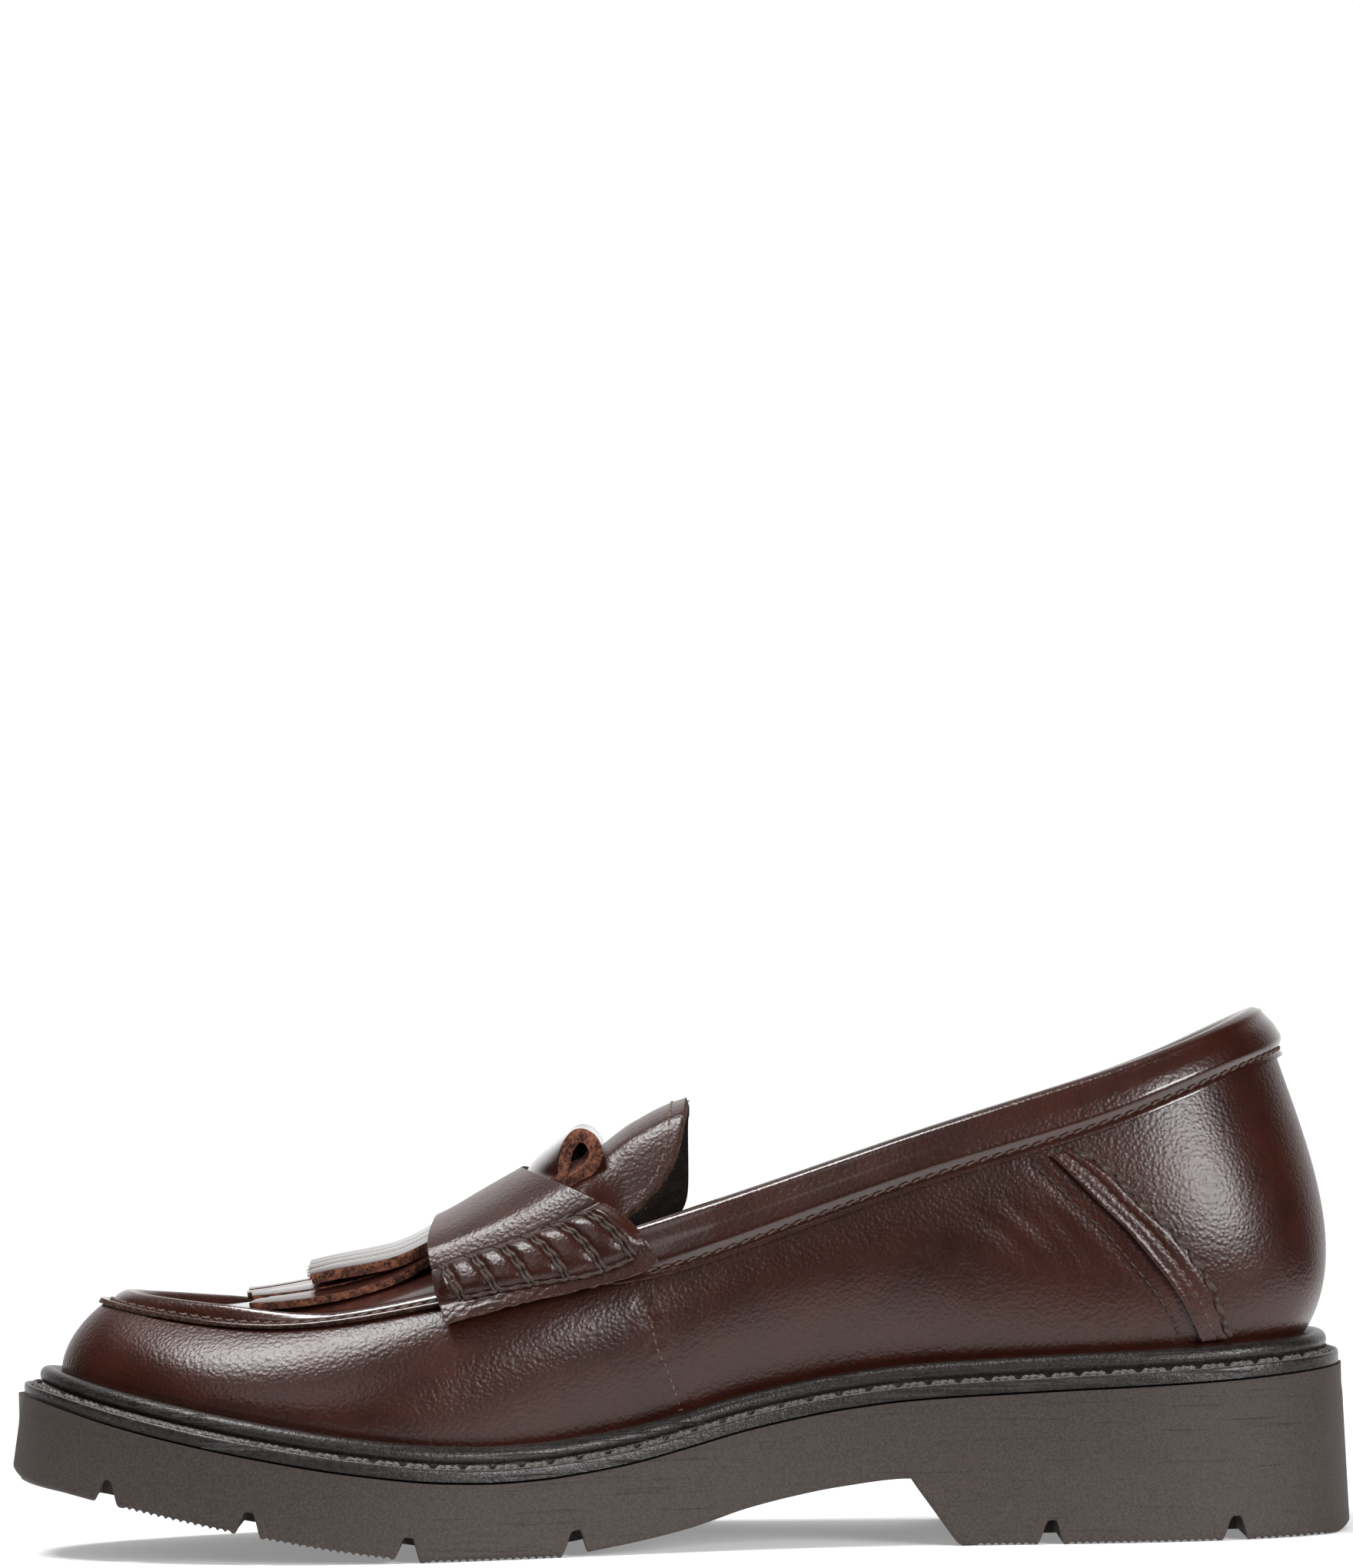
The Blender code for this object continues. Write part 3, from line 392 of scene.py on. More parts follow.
def formed(name, points, hold=None, flip=None):
    """A grid primitive moved onto points (rows, columns, 3). hold says which faces stay."""
    high, wide = points.shape[0] - 1, points.shape[1] - 1
    bpy.ops.object.select_all(action="DESELECT")
    bpy.ops.mesh.primitive_grid_add(x_subdivisions=wide, y_subdivisions=high, size=2.0)
    piece = bpy.context.object
    piece.name = piece.data.name = name
    mesh = piece.data
    if hold is not None:
        centres = np.empty(len(mesh.polygons) * 3)
        mesh.polygons.foreach_get("center", centres)
        column = np.floor((centres[0::3] + 1) / 2 * wide).astype(int)
        row = np.floor((centres[1::3] + 1) / 2 * high).astype(int)
        bpy.ops.object.mode_set(mode="EDIT")
        bpy.ops.mesh.select_mode(type="FACE")
        bpy.ops.mesh.select_all(action="DESELECT")
        bpy.ops.object.mode_set(mode="OBJECT")
        mesh.polygons.foreach_set("select", ~hold[row, column])
        bpy.ops.object.mode_set(mode="EDIT")
        bpy.ops.mesh.delete(type="FACE")
        bpy.ops.object.mode_set(mode="OBJECT")
    flat = np.empty(len(mesh.vertices) * 3)
    mesh.vertices.foreach_get("co", flat)
    column = np.rint((flat[0::3] + 1) / 2 * wide).astype(int)
    row = np.rint((flat[1::3] + 1) / 2 * high).astype(int)
    mesh.vertices.foreach_set("co", (points[row, column] * MM).ravel())
    mesh.update()
    tidy_faces(piece, flip)
    return piece


def tidy_faces(piece, flip=None):
    """Merges doubled points and points the faces outwards, or away from the last's core on an open sheet."""
    only(piece)
    bpy.ops.object.mode_set(mode="EDIT")
    bpy.ops.mesh.select_all(action="SELECT")
    bpy.ops.mesh.remove_doubles(threshold=4e-6)
    bpy.ops.mesh.normals_make_consistent(inside=False)
    bpy.ops.object.mode_set(mode="OBJECT")
    if flip is None:
        return
    faces = piece.data.polygons
    normals, centres = np.empty(len(faces) * 3), np.empty(len(faces) * 3)
    faces.foreach_get("normal", normals)
    faces.foreach_get("center", centres)
    away = centres.reshape(-1, 3) - np.array([0.0, 0.0, 0.03])
    away[:, 0] *= 0.15
    if (np.einsum("ij,ij->i", away, normals.reshape(-1, 3)).sum() < 0) != flip:
        bpy.ops.object.mode_set(mode="EDIT")
        bpy.ops.mesh.flip_normals()
        bpy.ops.object.mode_set(mode="OBJECT")


def applied(piece, kind, **settings):
    """Adds one modifier with its settings and applies it."""
    only(piece)
    modifier = piece.modifiers.new(kind.lower(), kind)
    for key, value in settings.items():
        setattr(modifier, key, value)
    bpy.ops.object.modifier_apply(modifier=modifier.name)


def row_places(mesh, per_face):
    """How far each point or each face of a formed sheet lies along the grid's rows, from 0 to 1."""
    where = np.empty(len(mesh.loops) * 2)
    mesh.uv_layers.active.data.foreach_get("uv", where)
    if per_face:
        first = np.empty(len(mesh.polygons), np.int32)
        mesh.polygons.foreach_get("loop_start", first)
        return where[1::2][first]
    corner_of = np.empty(len(mesh.loops), np.int32)
    mesh.loops.foreach_get("vertex_index", corner_of)
    found = np.zeros(len(mesh.vertices))
    found[corner_of] = where[1::2]
    return found


def walled(piece, thickness, soft):
    """Gives a sheet its thickness, with other materials on its back and its rim, and softens its cut edge."""
    while len(piece.data.materials) < 3:
        piece.data.materials.append(None)
    applied(piece, "SOLIDIFY", thickness=thickness * MM, offset=-1.0, use_even_offset=False,
            material_offset=1, material_offset_rim=2)
    if soft:
        applied(piece, "BEVEL", width=soft * MM, segments=2, limit_method="ANGLE",
                angle_limit=math.radians(55), material=-1)


def dressed(piece, finishes, slot, *nodes, smooth_angle=50):
    """Puts finishes on a piece, shades it, hangs it on the root and hides the solids that it stands for."""
    only(piece)
    bpy.ops.object.shade_smooth_by_angle(angle=math.radians(smooth_angle))
    mesh = piece.data
    slots = np.empty(len(mesh.polygons), np.int32)
    mesh.polygons.foreach_get("material_index", slots)
    mesh.materials.clear()
    for finish in finishes:
        mesh.materials.append(finish)
    mesh.polygons.foreach_set("material_index", np.minimum(slots, len(finishes) - 1))
    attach(piece, "root")
    if nodes:
        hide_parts(*nodes)
    mesh.calc_loop_triangles()
    print(f"{piece.name}: {len(mesh.loop_triangles)} triangles")


# %% [markdown]
# ## Finishes as arithmetic
# A finish is a small formula: a dark and a light brown mixed by a slow noise, pores and pebbles as height for
# a Bump node, a gloss that varies a little. Nodes can be placed by hand, but a formula is easier to read, so
# one class wraps a socket and lets masks be added and multiplied, and one method makes every other node.

# %% Sockets that can be added and multiplied
class Wire:
    """One output socket of a finish."""

    def __init__(self, finish, socket):
        self.finish, self.socket = finish, socket

    def combine(self, operation, *others):
        inputs = {i: value for i, value in enumerate((self, *others))}
        return self.finish.node("ShaderNodeMath", {"operation": operation}, inputs)

    def __add__(self, other):
        return self.combine("ADD", other)

    def __sub__(self, other):
        return self.combine("SUBTRACT", other)

    def __mul__(self, other):
        return self.combine("MULTIPLY", other)

    def __pow__(self, other):
        return self.combine("POWER", other)

    def __rsub__(self, other):
        return self.combine("MULTIPLY", -1.0).combine("ADD", other)

    __radd__, __rmul__ = __add__, __mul__


class Finish:
    """A material, or a given node tree, whose nodes are made one by one."""

    def __init__(self, name, tree=None):
        if tree is None:
            self.material = bpy.data.materials.new(name)
            self.material.use_nodes = True
            tree = self.material.node_tree
        self.tree = tree
        self.tree.nodes.clear()
        self.place = self.node("ShaderNodeTexCoord", {}, {}, "Object")

    def node(self, kind, settings, inputs, output=0):
        """Makes a node: its settings first, then the values or links of its sockets."""
        made = self.tree.nodes.new(kind)
        for key, value in settings.items():
            setattr(made, key, value)
        for key, value in inputs.items():
            if isinstance(value, Wire):
                self.tree.links.new(value.socket, made.inputs[key])
            else:
                made.inputs[key].default_value = value
        return Wire(self, made.outputs[output]) if made.outputs else None

    def noise(self, scale, detail=3.0, rough=0.55, place=None):
        inputs = {"Vector": place or self.place, "Scale": scale, "Detail": detail, "Roughness": rough}
        return self.node("ShaderNodeTexNoise", {}, inputs, "Fac")

    def cells(self, scale):
        """Rounded cells: 0 in the middle of each, about 1 in the creases."""
        inputs = {"Vector": self.place, "Scale": scale}
        return self.node("ShaderNodeTexVoronoi", {"feature": "SMOOTH_F1"}, inputs, "Distance")

    def ramp(self, factor, low, high):
        """A smooth step from 0 to 1 as factor goes from low to high."""
        inputs = {"Value": factor, "From Min": low, "From Max": high}
        return self.node("ShaderNodeMapRange", {"interpolation_type": "SMOOTHSTEP"}, inputs)

    def mix(self, factor, one, two):
        inputs = {0: factor, 6: one if isinstance(one, Wire) else (*one, 1.0),
                  7: two if isinstance(two, Wire) else (*two, 1.0)}
        return self.node("ShaderNodeMix", {"data_type": "RGBA"}, inputs, 2)

    def stretched(self, scale):
        """The place with its three directions scaled, for patterns that run one way."""
        return self.node("ShaderNodeMapping", {}, {"Vector": self.place, "Scale": scale})

    def done(self, colour, roughness, height, depth, **constants):
        """Joins the formula to one shader. depth is the height's full range in millimetres."""
        normal = self.node("ShaderNodeBump", {}, {"Height": height, "Distance": depth * MM, "Strength": 1.0})
        inputs = {"Base Color": colour, "Roughness": roughness, "Normal": normal, **constants}
        shader = self.node("ShaderNodeBsdfPrincipled", {}, inputs)
        self.node("ShaderNodeOutputMaterial", {}, {"Surface": shader})
        return self.material


print("finish helpers ready")

# %% [markdown]
# ## Polished grain leather
# The upper is corrected-grain leather: dyed a very dark red brown, then polished, so it is almost black in
# the shade and silvery where it mirrors the room. Its grain is a fine pebble of rounded cells with creases
# between them. A Voronoi texture has just such cells, and a fine noise adds pores. A clear coat lies smooth
# over the grain and hides it in a highlight, so only the waxed kiltie and the apron's plug have a full one.

# %% Leather
def leather(name, dark, light, grain=1.0, gloss=0.25, cell=0.72, coat=0.0, coat_index=1.5):
    """Grain leather: cell is the pebble's width in millimetres, grain its depth against the usual."""
    made = Finish(name)
    pebble = made.cells(1000.0 / cell)
    pores = made.noise(1900.0 / cell, 2.0)
    broad, middle = made.noise(22.0, 4.0), made.noise(95.0, 4.0, 0.6)
    height = 1.0 - pebble * 1.1 + pores * 0.3 + middle * 0.15
    tone = made.ramp(broad * 0.6 + middle * 0.5, 0.20, 0.90)
    colour = made.mix(made.ramp(pebble, 0.35, 0.75) * 0.45, made.mix(tone, dark, light), dark)
    roughness = gloss + middle * 0.12 + pebble * 0.10
    return made.done(colour, roughness, height, 0.075 * grain, **{
        "Coat Weight": coat, "Coat Roughness": 0.12, "Coat IOR": coat_index, "Specular IOR Level": 0.5})


DARK_BROWN, RED_BROWN = (0.016, 0.0042, 0.0027), (0.055, 0.0118, 0.0062)
upper_leather = leather("upper_leather", DARK_BROWN, RED_BROWN, gloss=0.22)
smooth_leather = leather("smooth_leather", DARK_BROWN, RED_BROWN, grain=0.9, gloss=0.20, coat=0.7)
mirror_leather = leather("mirror_leather", DARK_BROWN, RED_BROWN, grain=0.5, gloss=0.20, coat=1.0,
                         coat_index=2.2)
print("leathers:", upper_leather.name, smooth_leather.name, mirror_leather.name)

# %% [markdown]
# ## Raw edges, suede, lining, rubber and thread
# A cut edge shows the leather's inside: matt, fibrous and paler. The kiltie has a reddish suede back. Rubber
# is matt with a fine moulded speckle on the sole and shinier on the welt. Thread is waxed and twisted.

# %% Fibrous finishes
def fibrous(name, dark, light, scale, depth, sheen=0.0):
    """Matt fibres: suede, a cut edge or a soft lining."""
    made = Finish(name)
    fibres, clumps = made.noise(scale, 5.0, 0.75), made.noise(scale * 0.3, 3.0)
    tone = made.ramp(fibres * 0.7 + clumps * 0.5, 0.50, 0.74)
    return made.done(made.mix(tone, dark, light), 0.78 + fibres * 0.2, fibres + clumps * 0.5, depth, **{
        "Sheen Weight": sheen, "Sheen Roughness": 0.5, "Specular IOR Level": 0.3})


raw_edge = fibrous("raw_edge", (0.030, 0.014, 0.010), (0.160, 0.082, 0.058), 2600.0, 0.10)
suede = fibrous("suede", (0.036, 0.011, 0.007), (0.360, 0.130, 0.070), 1500.0, 0.45, sheen=0.1)
# Near-black fibres for the tongue's back and the core of the kiltie's fold: painted shade where these hollows
# lie in shadow.
painted_shade_black = fibrous("painted_shade_black", (0.006, 0.004, 0.004), (0.020, 0.013, 0.011), 1800.0, 0.08)
lining = fibrous("lining", (0.105, 0.078, 0.060), (0.190, 0.145, 0.112), 900.0, 0.05, sheen=0.2)


# %% Rubber and thread
def rubber(name, dark, light, speck, speckle, roughness, depth):
    """Moulded rubber: speckled, with faint level scratches from the mould."""
    made = Finish(name)
    grains = made.noise(speck, 3.0, 0.7)
    scratches = made.ramp(made.noise(1.0, 5.0, 0.65, made.stretched((40.0, 40.0, 1500.0))), 0.56, 0.74)
    broad = made.noise(30.0, 4.0)
    tone = made.ramp(grains, 0.5 - speckle, 0.5 + speckle) * 0.75 + broad * 0.3 - scratches * 0.45
    height = grains * 0.8 - scratches * 0.6
    return made.done(made.mix(tone, dark, light), roughness + grains * 0.15, height, depth)


sole_rubber = rubber("sole_rubber", (0.0165, 0.0112, 0.009), (0.052, 0.0365, 0.030), 2100.0, 0.16, 0.60, 0.11)
welt_rubber = rubber("welt_rubber", (0.008, 0.006, 0.0055), (0.026, 0.020, 0.018), 1100.0, 0.20, 0.24, 0.20)
# The welt's lip gets a paler rubber: a painted highlight along the lip, where it would mirror the white room.
welt_lip_painted_highlight = rubber("welt_lip_painted_highlight", (0.050, 0.042, 0.038), (0.210, 0.185, 0.168), 1500.0, 0.20, 0.35, 0.10)


def thread(name, dark, light):
    """Waxed twisted thread: the twist itself is in the mesh, the finish adds its strands."""
    made = Finish(name)
    strands = made.noise(3200.0, 3.0, 0.7)
    colour = made.mix(made.ramp(strands, 0.3, 0.75), dark, light)
    return made.done(colour, 0.42 + strands * 0.25, strands, 0.06, **{"Specular IOR Level": 0.5})


dark_thread = thread("dark_thread", (0.014, 0.007, 0.005), (0.088, 0.049, 0.035))
brown_thread = thread("brown_thread", (0.030, 0.014, 0.010), (0.180, 0.105, 0.078))
tan_thread = thread("tan_thread", (0.075, 0.042, 0.030), (0.260, 0.165, 0.120))
# The welt's thread is near black with pale strands: the pale strands are painted glints, so the row shows
# light flecks under any lamp.
welt_thread_painted_glints = thread("welt_thread_painted_glints", (0.015, 0.013, 0.012), (0.230, 0.205, 0.190))
print("finishes:", len(bpy.data.materials))

# %% [markdown]
# ## Outsole
# One moulded unit: a block heel, an arch, and lugs between cross grooves, each lug with a fine ripple
# across it. No light comes through the grooves, so a rib along the middle stops them. It could be carved with
# Boolean cutters, but hundreds of ripples leave poor faces. Instead the sole is lofted: one cross-section for
# each station along it, with stations packed where grooves and ripples are.

# %% Underside with grooves and ripples
RIPPLE_PITCH, RIPPLE_DEPTH = 1.48, 0.5
GROOVE_FRONT, GROOVE_BACK = 3.1, 2.4  # a groove's reach towards the toe and towards the heel
RIPPLED = [(-109.5, -87.0), (-81.5, -55.6), (-50.0, -23.4), (57.0, 69.4), (75.0, 105.8), (111.4, 128.0)]


def groove_rise(x):
    """How far the grooves lift the underside: a slanted flank towards the toe, a steep one behind."""
    rise = np.zeros_like(x)
    for middle in GROOVES:
        local = x - middle
        slanted, steep = (local + GROOVE_FRONT) / 2.7, (GROOVE_BACK - local) / 1.7
        rise = np.maximum(rise, GROOVE_HEIGHT * smooth(np.minimum(slanted, steep)))
    return rise


def underside(x, grooved=1.0):
    ripple = np.zeros_like(x)
    for first, last in RIPPLED:
        inside = np.clip(np.minimum(x - first, last - x) / 1.0, 0, 1)
        ripple += RIPPLE_DEPTH * inside * np.abs(np.sin(math.pi * x / RIPPLE_PITCH)) ** 0.8
    return foot_line(x) + grooved * groove_rise(x) + ripple


def sole_stations():
    """Places along the sole: close at ripples, grooves and both tips."""
    ripples = np.arange(-110.0, 128.4, RIPPLE_PITCH / 4)
    ripples = ripples - ripples[0] + round(-110.0 / RIPPLE_PITCH) * RIPPLE_PITCH
    held = np.any([(ripples > first) & (ripples < last) for first, last in RIPPLED], axis=0)
    near = np.linspace(-GROOVE_FRONT, GROOVE_BACK, 25)
    grooves = np.concatenate([middle + near for middle in GROOVES])
    tips = 133.55 - 24.0 * np.linspace(0, 1, 60) ** 2
    plain = np.arange(-132.0, 132.0, 1.1)
    xs = np.sort(np.concatenate([ripples[held], grooves, -tips, tips, plain, [53.6, 54.2, 55.0]]))
    return xs[np.append(True, np.diff(xs) > 0.09)]


stations = sole_stations()
print(len(stations), "stations along the sole")

# %% Loft the sole
def sole_outline(u, z):
    """The side wall's point at height z, which widens downwards, most of all in front of the toe."""
    edge = edge_curve(u)
    toe = np.clip((-edge[..., 0] - 96.0) / 34.0, 0, 1)
    reach = 0.5 + (0.035 + 0.13 * toe * toe) * np.maximum(34.0 - z, 0.0)
    return edge + reach[..., None] * outward(u)


def sole_shares():
    """For each station the inner and the outer share whose wall meets the ground there."""
    u = np.linspace(0, 1, 6001)[:-1]
    x = sole_outline(u, foot_line(edge_curve(u)[:, 0]))[:, 0]
    heel, toe = int(np.argmax(x)), int(np.argmin(x))
    turned = np.roll(np.arange(6000), -heel)
    split = (toe - heel) % 6000
    inner, outer = turned[:split + 1], np.append(turned[split:], heel)
    found = []
    for side, is_inner in ((inner, True), (outer, False)):
        order = side[np.argsort(x[side])]
        shares = u[order]
        if is_inner:
            shares = np.where(shares > 0.75, shares - 1.0, shares)
        else:
            shares = np.where(shares < 0.25, shares + 1.0, shares)
        found.append(np.interp(stations, x[order], shares))
    return found


inner_share, outer_share = sole_shares()
bottom = underside(stations)
toe_share = np.clip((-stations - 100.0) / 32.0, 0, 1)
corner = 0.55 + 1.3 * toe_share**2
section = []
for step in np.linspace(0, 1, 17)[:-1]:
    rim_dip = 0.25 * math.exp(-((step - 0.10) / 0.03) ** 2)
    z = deck(stations) - 0.02 + (bottom + corner - deck(stations)) * step
    section.append((z, rim_dip, 0.0))
for angle in np.linspace(0, math.pi / 2, 5):
    section.append((bottom + corner * (1 - math.sin(angle)), 0.0, 1 - math.cos(angle)))
walls = []
for share in (inner_share, outer_share):
    rows = []
    for z, dip, turn in section:
        xy = sole_outline(share, z) - (dip + corner * turn)[:, None] * outward(share)
        rows.append(np.column_stack([xy, z]))
    walls.append(rows)
across = []
inner_half, outer_half = np.linspace(0, 0.40, 9), np.linspace(0.60, 1, 9)
for t in np.concatenate([inner_half[1:], np.linspace(0.42, 0.58, 3), outer_half[:-1]]):
    row = (1 - t) * walls[0][-1] + t * walls[1][-1]
    row[:, 2] = underside(row[:, 0], grooved=float(abs(t - 0.5) > 0.09))
    across.append(row)
loop = walls[0] + across + walls[1][::-1] + [walls[0][0]]
sole_points = np.array(loop)
for end in (0, -1):
    sole_points[:, end, :2] = sole_points[:, end, :2].mean(axis=0)
outsole = formed("outsole_moulded", sole_points)
dressed(outsole, [sole_rubber], "outsole", "outsole", smooth_angle=38)

# %% [markdown]
# ## Storm welt
# A storm welt is a rubber strip with a flat flange that is stitched down to the sole and a round bead that is
# pressed up against the leather to keep water out. It is one profile swept round the edge, so it is made as
# one: rows of the grid follow the profile, columns go round the shoe.

# %% Places round the shoe
def turning_shares(count):
    """Shares round the edge, closer together where it turns."""
    shares = np.linspace(0.0, 1.0, 1441)
    turn = np.linalg.norm(np.diff(outward(shares), axis=0), axis=1)
    weight = np.append(0.0, np.cumsum(1.0 / 1440 + turn / 14.0))
    return np.interp(np.linspace(0.0, weight[-1], count + 1), weight, shares)


around = turning_shares(520)
print("finest step round the toe:", round(float(np.diff(around).min() * lengths.sum()), 2), "mm")

# %% Sweep the welt
flange = [  # inset from the edge, height over the seat
    (0.25, 0.0), (0.02, 0.12), (0.0, 0.9), (0.0, 1.8), (0.06, 2.25), (0.2, 2.5), (0.42, 2.62),
    (0.66, 2.56), (0.86, 2.35), (1.0, 2.05), (1.3, 1.9), (1.8, 1.85), (2.4, 1.95), (2.9, 2.25),
]
bead_middle = BEAD_TOP - 0.1 - BEAD_RADIUS
inner_edge = upper_inset(edge_curve(around)[:, 0]) - SEAT_GAP
rows = [edge_point(around, np.full_like(around, inset), SEAT_GAP + height) for inset, height in flange]
for angle in np.radians(np.linspace(222, -25, 20)):
    inset = inner_edge - 1.95 + BEAD_RADIUS * math.cos(angle)
    rows.append(edge_point(around, np.minimum(inset, inner_edge - 0.05),
                           SEAT_GAP + bead_middle + BEAD_RADIUS * math.sin(angle)))
rows.append(edge_point(around, inner_edge - 0.05, SEAT_GAP))
rows.append(rows[0])
welt = formed("storm_welt", np.array(rows))
centres, normals = np.empty(len(welt.data.polygons) * 3), np.empty(len(welt.data.polygons) * 3)
welt.data.polygons.foreach_get("center", centres)
welt.data.polygons.foreach_get("normal", normals)
above = centres[2::3] / MM - deck(centres[0::3] / MM)
# Faces on the lip's rounding that face upwards take the paler finish: a painted highlight on the lip.
lip_highlight_faces = (above > 2.72) & (above < 2.96) & (normals[2::3] > 0.3)
welt.data.polygons.foreach_set("material_index", lip_highlight_faces.astype(np.int32))
dressed(welt, [welt_rubber, welt_lip_painted_highlight], "welt", "welt", smooth_angle=45)

# %% [markdown]
# ## Thread
# A thread is two plies twisted together, so its section is a little oval that turns along its length. One
# short stitch is modelled once, with its two ends diving into the leather, and copied along each seam. Long
# threads, such as the wraps on the strap, are swept along their own line instead.

# %% Stitches and threads
def frames_on(line, ways):
    """The side and the way out at each point of a line, both square to its run."""
    tangent = unit(np.gradient(line, axis=0))
    ways = unit(ways - np.sum(ways * tangent, axis=1, keepdims=True) * tangent)
    return np.cross(ways, tangent), ways


def swept_thread(name, line, ways, radius, twist=1.5, sides=8, dive=0.0):
    """A two-ply thread along a line. twist is the length in millimetres of one half turn."""
    travelled = np.append(0.0, np.cumsum(np.linalg.norm(np.diff(line, axis=0), axis=1)))
    count = max(int(travelled[-1] / 0.28), 6)
    at = np.linspace(0, travelled[-1], count)
    line = np.column_stack([np.interp(at, travelled, line[:, k]) for k in range(3)])
    ways = np.column_stack([np.interp(at, travelled, ways[:, k]) for k in range(3)])
    side, ways = frames_on(line, ways)
    share = at / travelled[-1]
    line = line - (dive * (2 * share - 1) ** 6)[:, None] * ways
    end = np.sqrt(np.clip(1 - np.abs(2 * share - 1) ** 14, 0.02, 1))
    turn = np.linspace(0, 2 * math.pi, sides + 1)
    wave = 1 + 0.24 * np.cos(2 * (turn[None, :] - math.pi * at[:, None] / twist / 2))
    reach = radius * end[:, None] * wave
    points = (line[:, None] + (reach * np.cos(turn))[..., None] * side[:, None]
              + (reach * np.sin(turn))[..., None] * ways[:, None])
    return formed(name, points)


def line_steps(line, ways, pitch):
    """Evenly spaced places along a line: point, tangent and way out at each."""
    travelled = np.append(0.0, np.cumsum(np.linalg.norm(np.diff(line, axis=0), axis=1)))
    at = np.arange(pitch / 2, travelled[-1] - pitch / 3, pitch)
    point, way, ahead = (np.column_stack([np.interp(where, travelled, values[:, k]) for k in range(3)])
                         for where, values in ((at, line), (at, ways), (at + 0.3, line)))
    return point, unit(ahead - point), unit(way)


def copied(name, model, places):
    """One piece from copies of a model, which is used up. A place is a point and three axes."""
    made = []
    for point, axes in places:
        rows = [(*row, offset * MM) for row, offset in zip(np.column_stack(axes), point)]
        mesh = model.data.copy()
        mesh.transform(Matrix((*rows, (0.0, 0.0, 0.0, 1.0))))
        made.append(bpy.data.objects.new(name, mesh))
        bpy.context.scene.collection.objects.link(made[-1])
    bpy.data.objects.remove(model)
    only(*made)
    bpy.ops.object.join()
    joined = bpy.context.object
    joined.name = joined.data.name = name
    print(name, "has", len(made), "copies")
    return joined


def stitched(name, seams, pitch, length, radius, slant=0.0, height=0.0, twist=1.1):
    """Copies of one stitch along several seams, joined into one piece."""
    span = np.linspace(-length / 2, length / 2, 12)
    flat = np.column_stack([span, 0 * span, 0 * span])
    upright = np.tile([0.0, 0.0, 1.0], (12, 1))
    model = swept_thread(name + "_model", flat, upright, radius, twist, dive=radius * 1.6)
    cos, sin = math.cos(math.radians(slant)), math.sin(math.radians(slant))
    places = []
    for line, ways in seams:
        for point, tangent, way in zip(*line_steps(line, ways, pitch)):
            side = unit(np.cross(way, tangent))
            way = np.cross(tangent, side)
            axes = (cos * tangent + sin * side, cos * side - sin * tangent, way)
            places.append((point + height * way, axes))
    return copied(name, model, places)


def fuzzed(name, seams, per_mm, length, seed):
    """Loose fibres that stand out along raw edges, each one a short bent hair."""
    dice = np.random.default_rng(seed)
    t = np.linspace(0, 1, 7)
    bent = np.column_stack([length * t, 0.35 * length * t * t, 0 * t])
    model = swept_thread(name + "_model", bent, np.tile([0.0, 0.0, 1.0], (7, 1)), 0.05, 9.0, sides=3)
    places = []
    for line, ways in seams:
        for point, tangent, way in zip(*line_steps(line, ways, 1.0 / per_mm)):
            aim = unit(way + dice.normal(0.0, 0.6, 3))
            side = unit(np.cross(aim, tangent + dice.normal(0.0, 0.3, 3)))
            size = dice.uniform(0.35, 1.3)
            places.append((point + dice.normal(0.0, 0.25, 3), (size * aim, side, np.cross(aim, side))))
    return copied(name, model, places)


welt_line = edge_point(around, np.full_like(around, 2.2), SEAT_GAP + 2.45)
welt_ways = np.tile([0.0, 0.0, 1.0], (len(around), 1)) + 0.6 * np.column_stack([outward(around), around * 0])
welt_stitches = stitched("welt_stitches", [(welt_line, welt_ways)], 5.9, 5.6, 0.60, height=0.25, twist=0.8)
dressed(welt_stitches, [welt_thread_painted_glints], "welt")

# %% [markdown]
# ## Upper
# Vamp and quarters are one shell of leather, pulled down over the last and tucked behind the welt. It is
# hollow, so a wearer could step in, and its back is the lining. Vamp and quarter meet on the inner side in a
# butt seam, and the quarters carry a few soft creases. Both are pressed into the sheet before it is walled.

# %% Creases and seams pressed into the leather
def near_line(x, z, line):
    """Distance in the side view from each point to a line of (x, z) points, and the share along it."""
    line = np.array(line, float)
    best, where = np.full(x.shape, 1e9), np.zeros(x.shape)
    for i, (start, end) in enumerate(zip(line[:-1], line[1:])):
        way = end - start
        t = np.clip(((x - start[0]) * way[0] + (z - start[1]) * way[1]) / (way @ way), 0, 1)
        distance = np.hypot(x - start[0] - t * way[0], z - start[1] - t * way[1])
        closer = distance < best
        best, where = np.where(closer, distance, best), np.where(closer, (i + t) / (len(line) - 1), where)
    return best, where


QUARTER_SEAM = [(-7.8, 51.4), (-5.1, 44.6), (-3.7, 38.8), (-2.5, 36.4), (0.3, 27.5), (1.4, 24.0)]
STRIP_FRONT = [
    (74.0, 75.7), (76.6, 73.2), (82.6, 67.0), (88.2, 61.4), (93.6, 54.8), (98.0, 48.8), (101.0, 43.0),
    (102.5, 38.9),
]
STRIP_REAR = [
    (77.9, 77.2), (80.4, 75.8), (85.0, 72.8), (90.8, 66.6), (96.4, 61.4), (101.1, 55.5), (104.8, 49.3),
    (107.2, 42.4), (108.4, 39.2),
]
QUARTER_STITCH = [
    (69.8, 74.8), (72.9, 72.1), (79.4, 65.3), (84.6, 60.3), (89.8, 53.9), (94.0, 48.5), (97.3, 43.2),
    (98.8, 39.0),
]
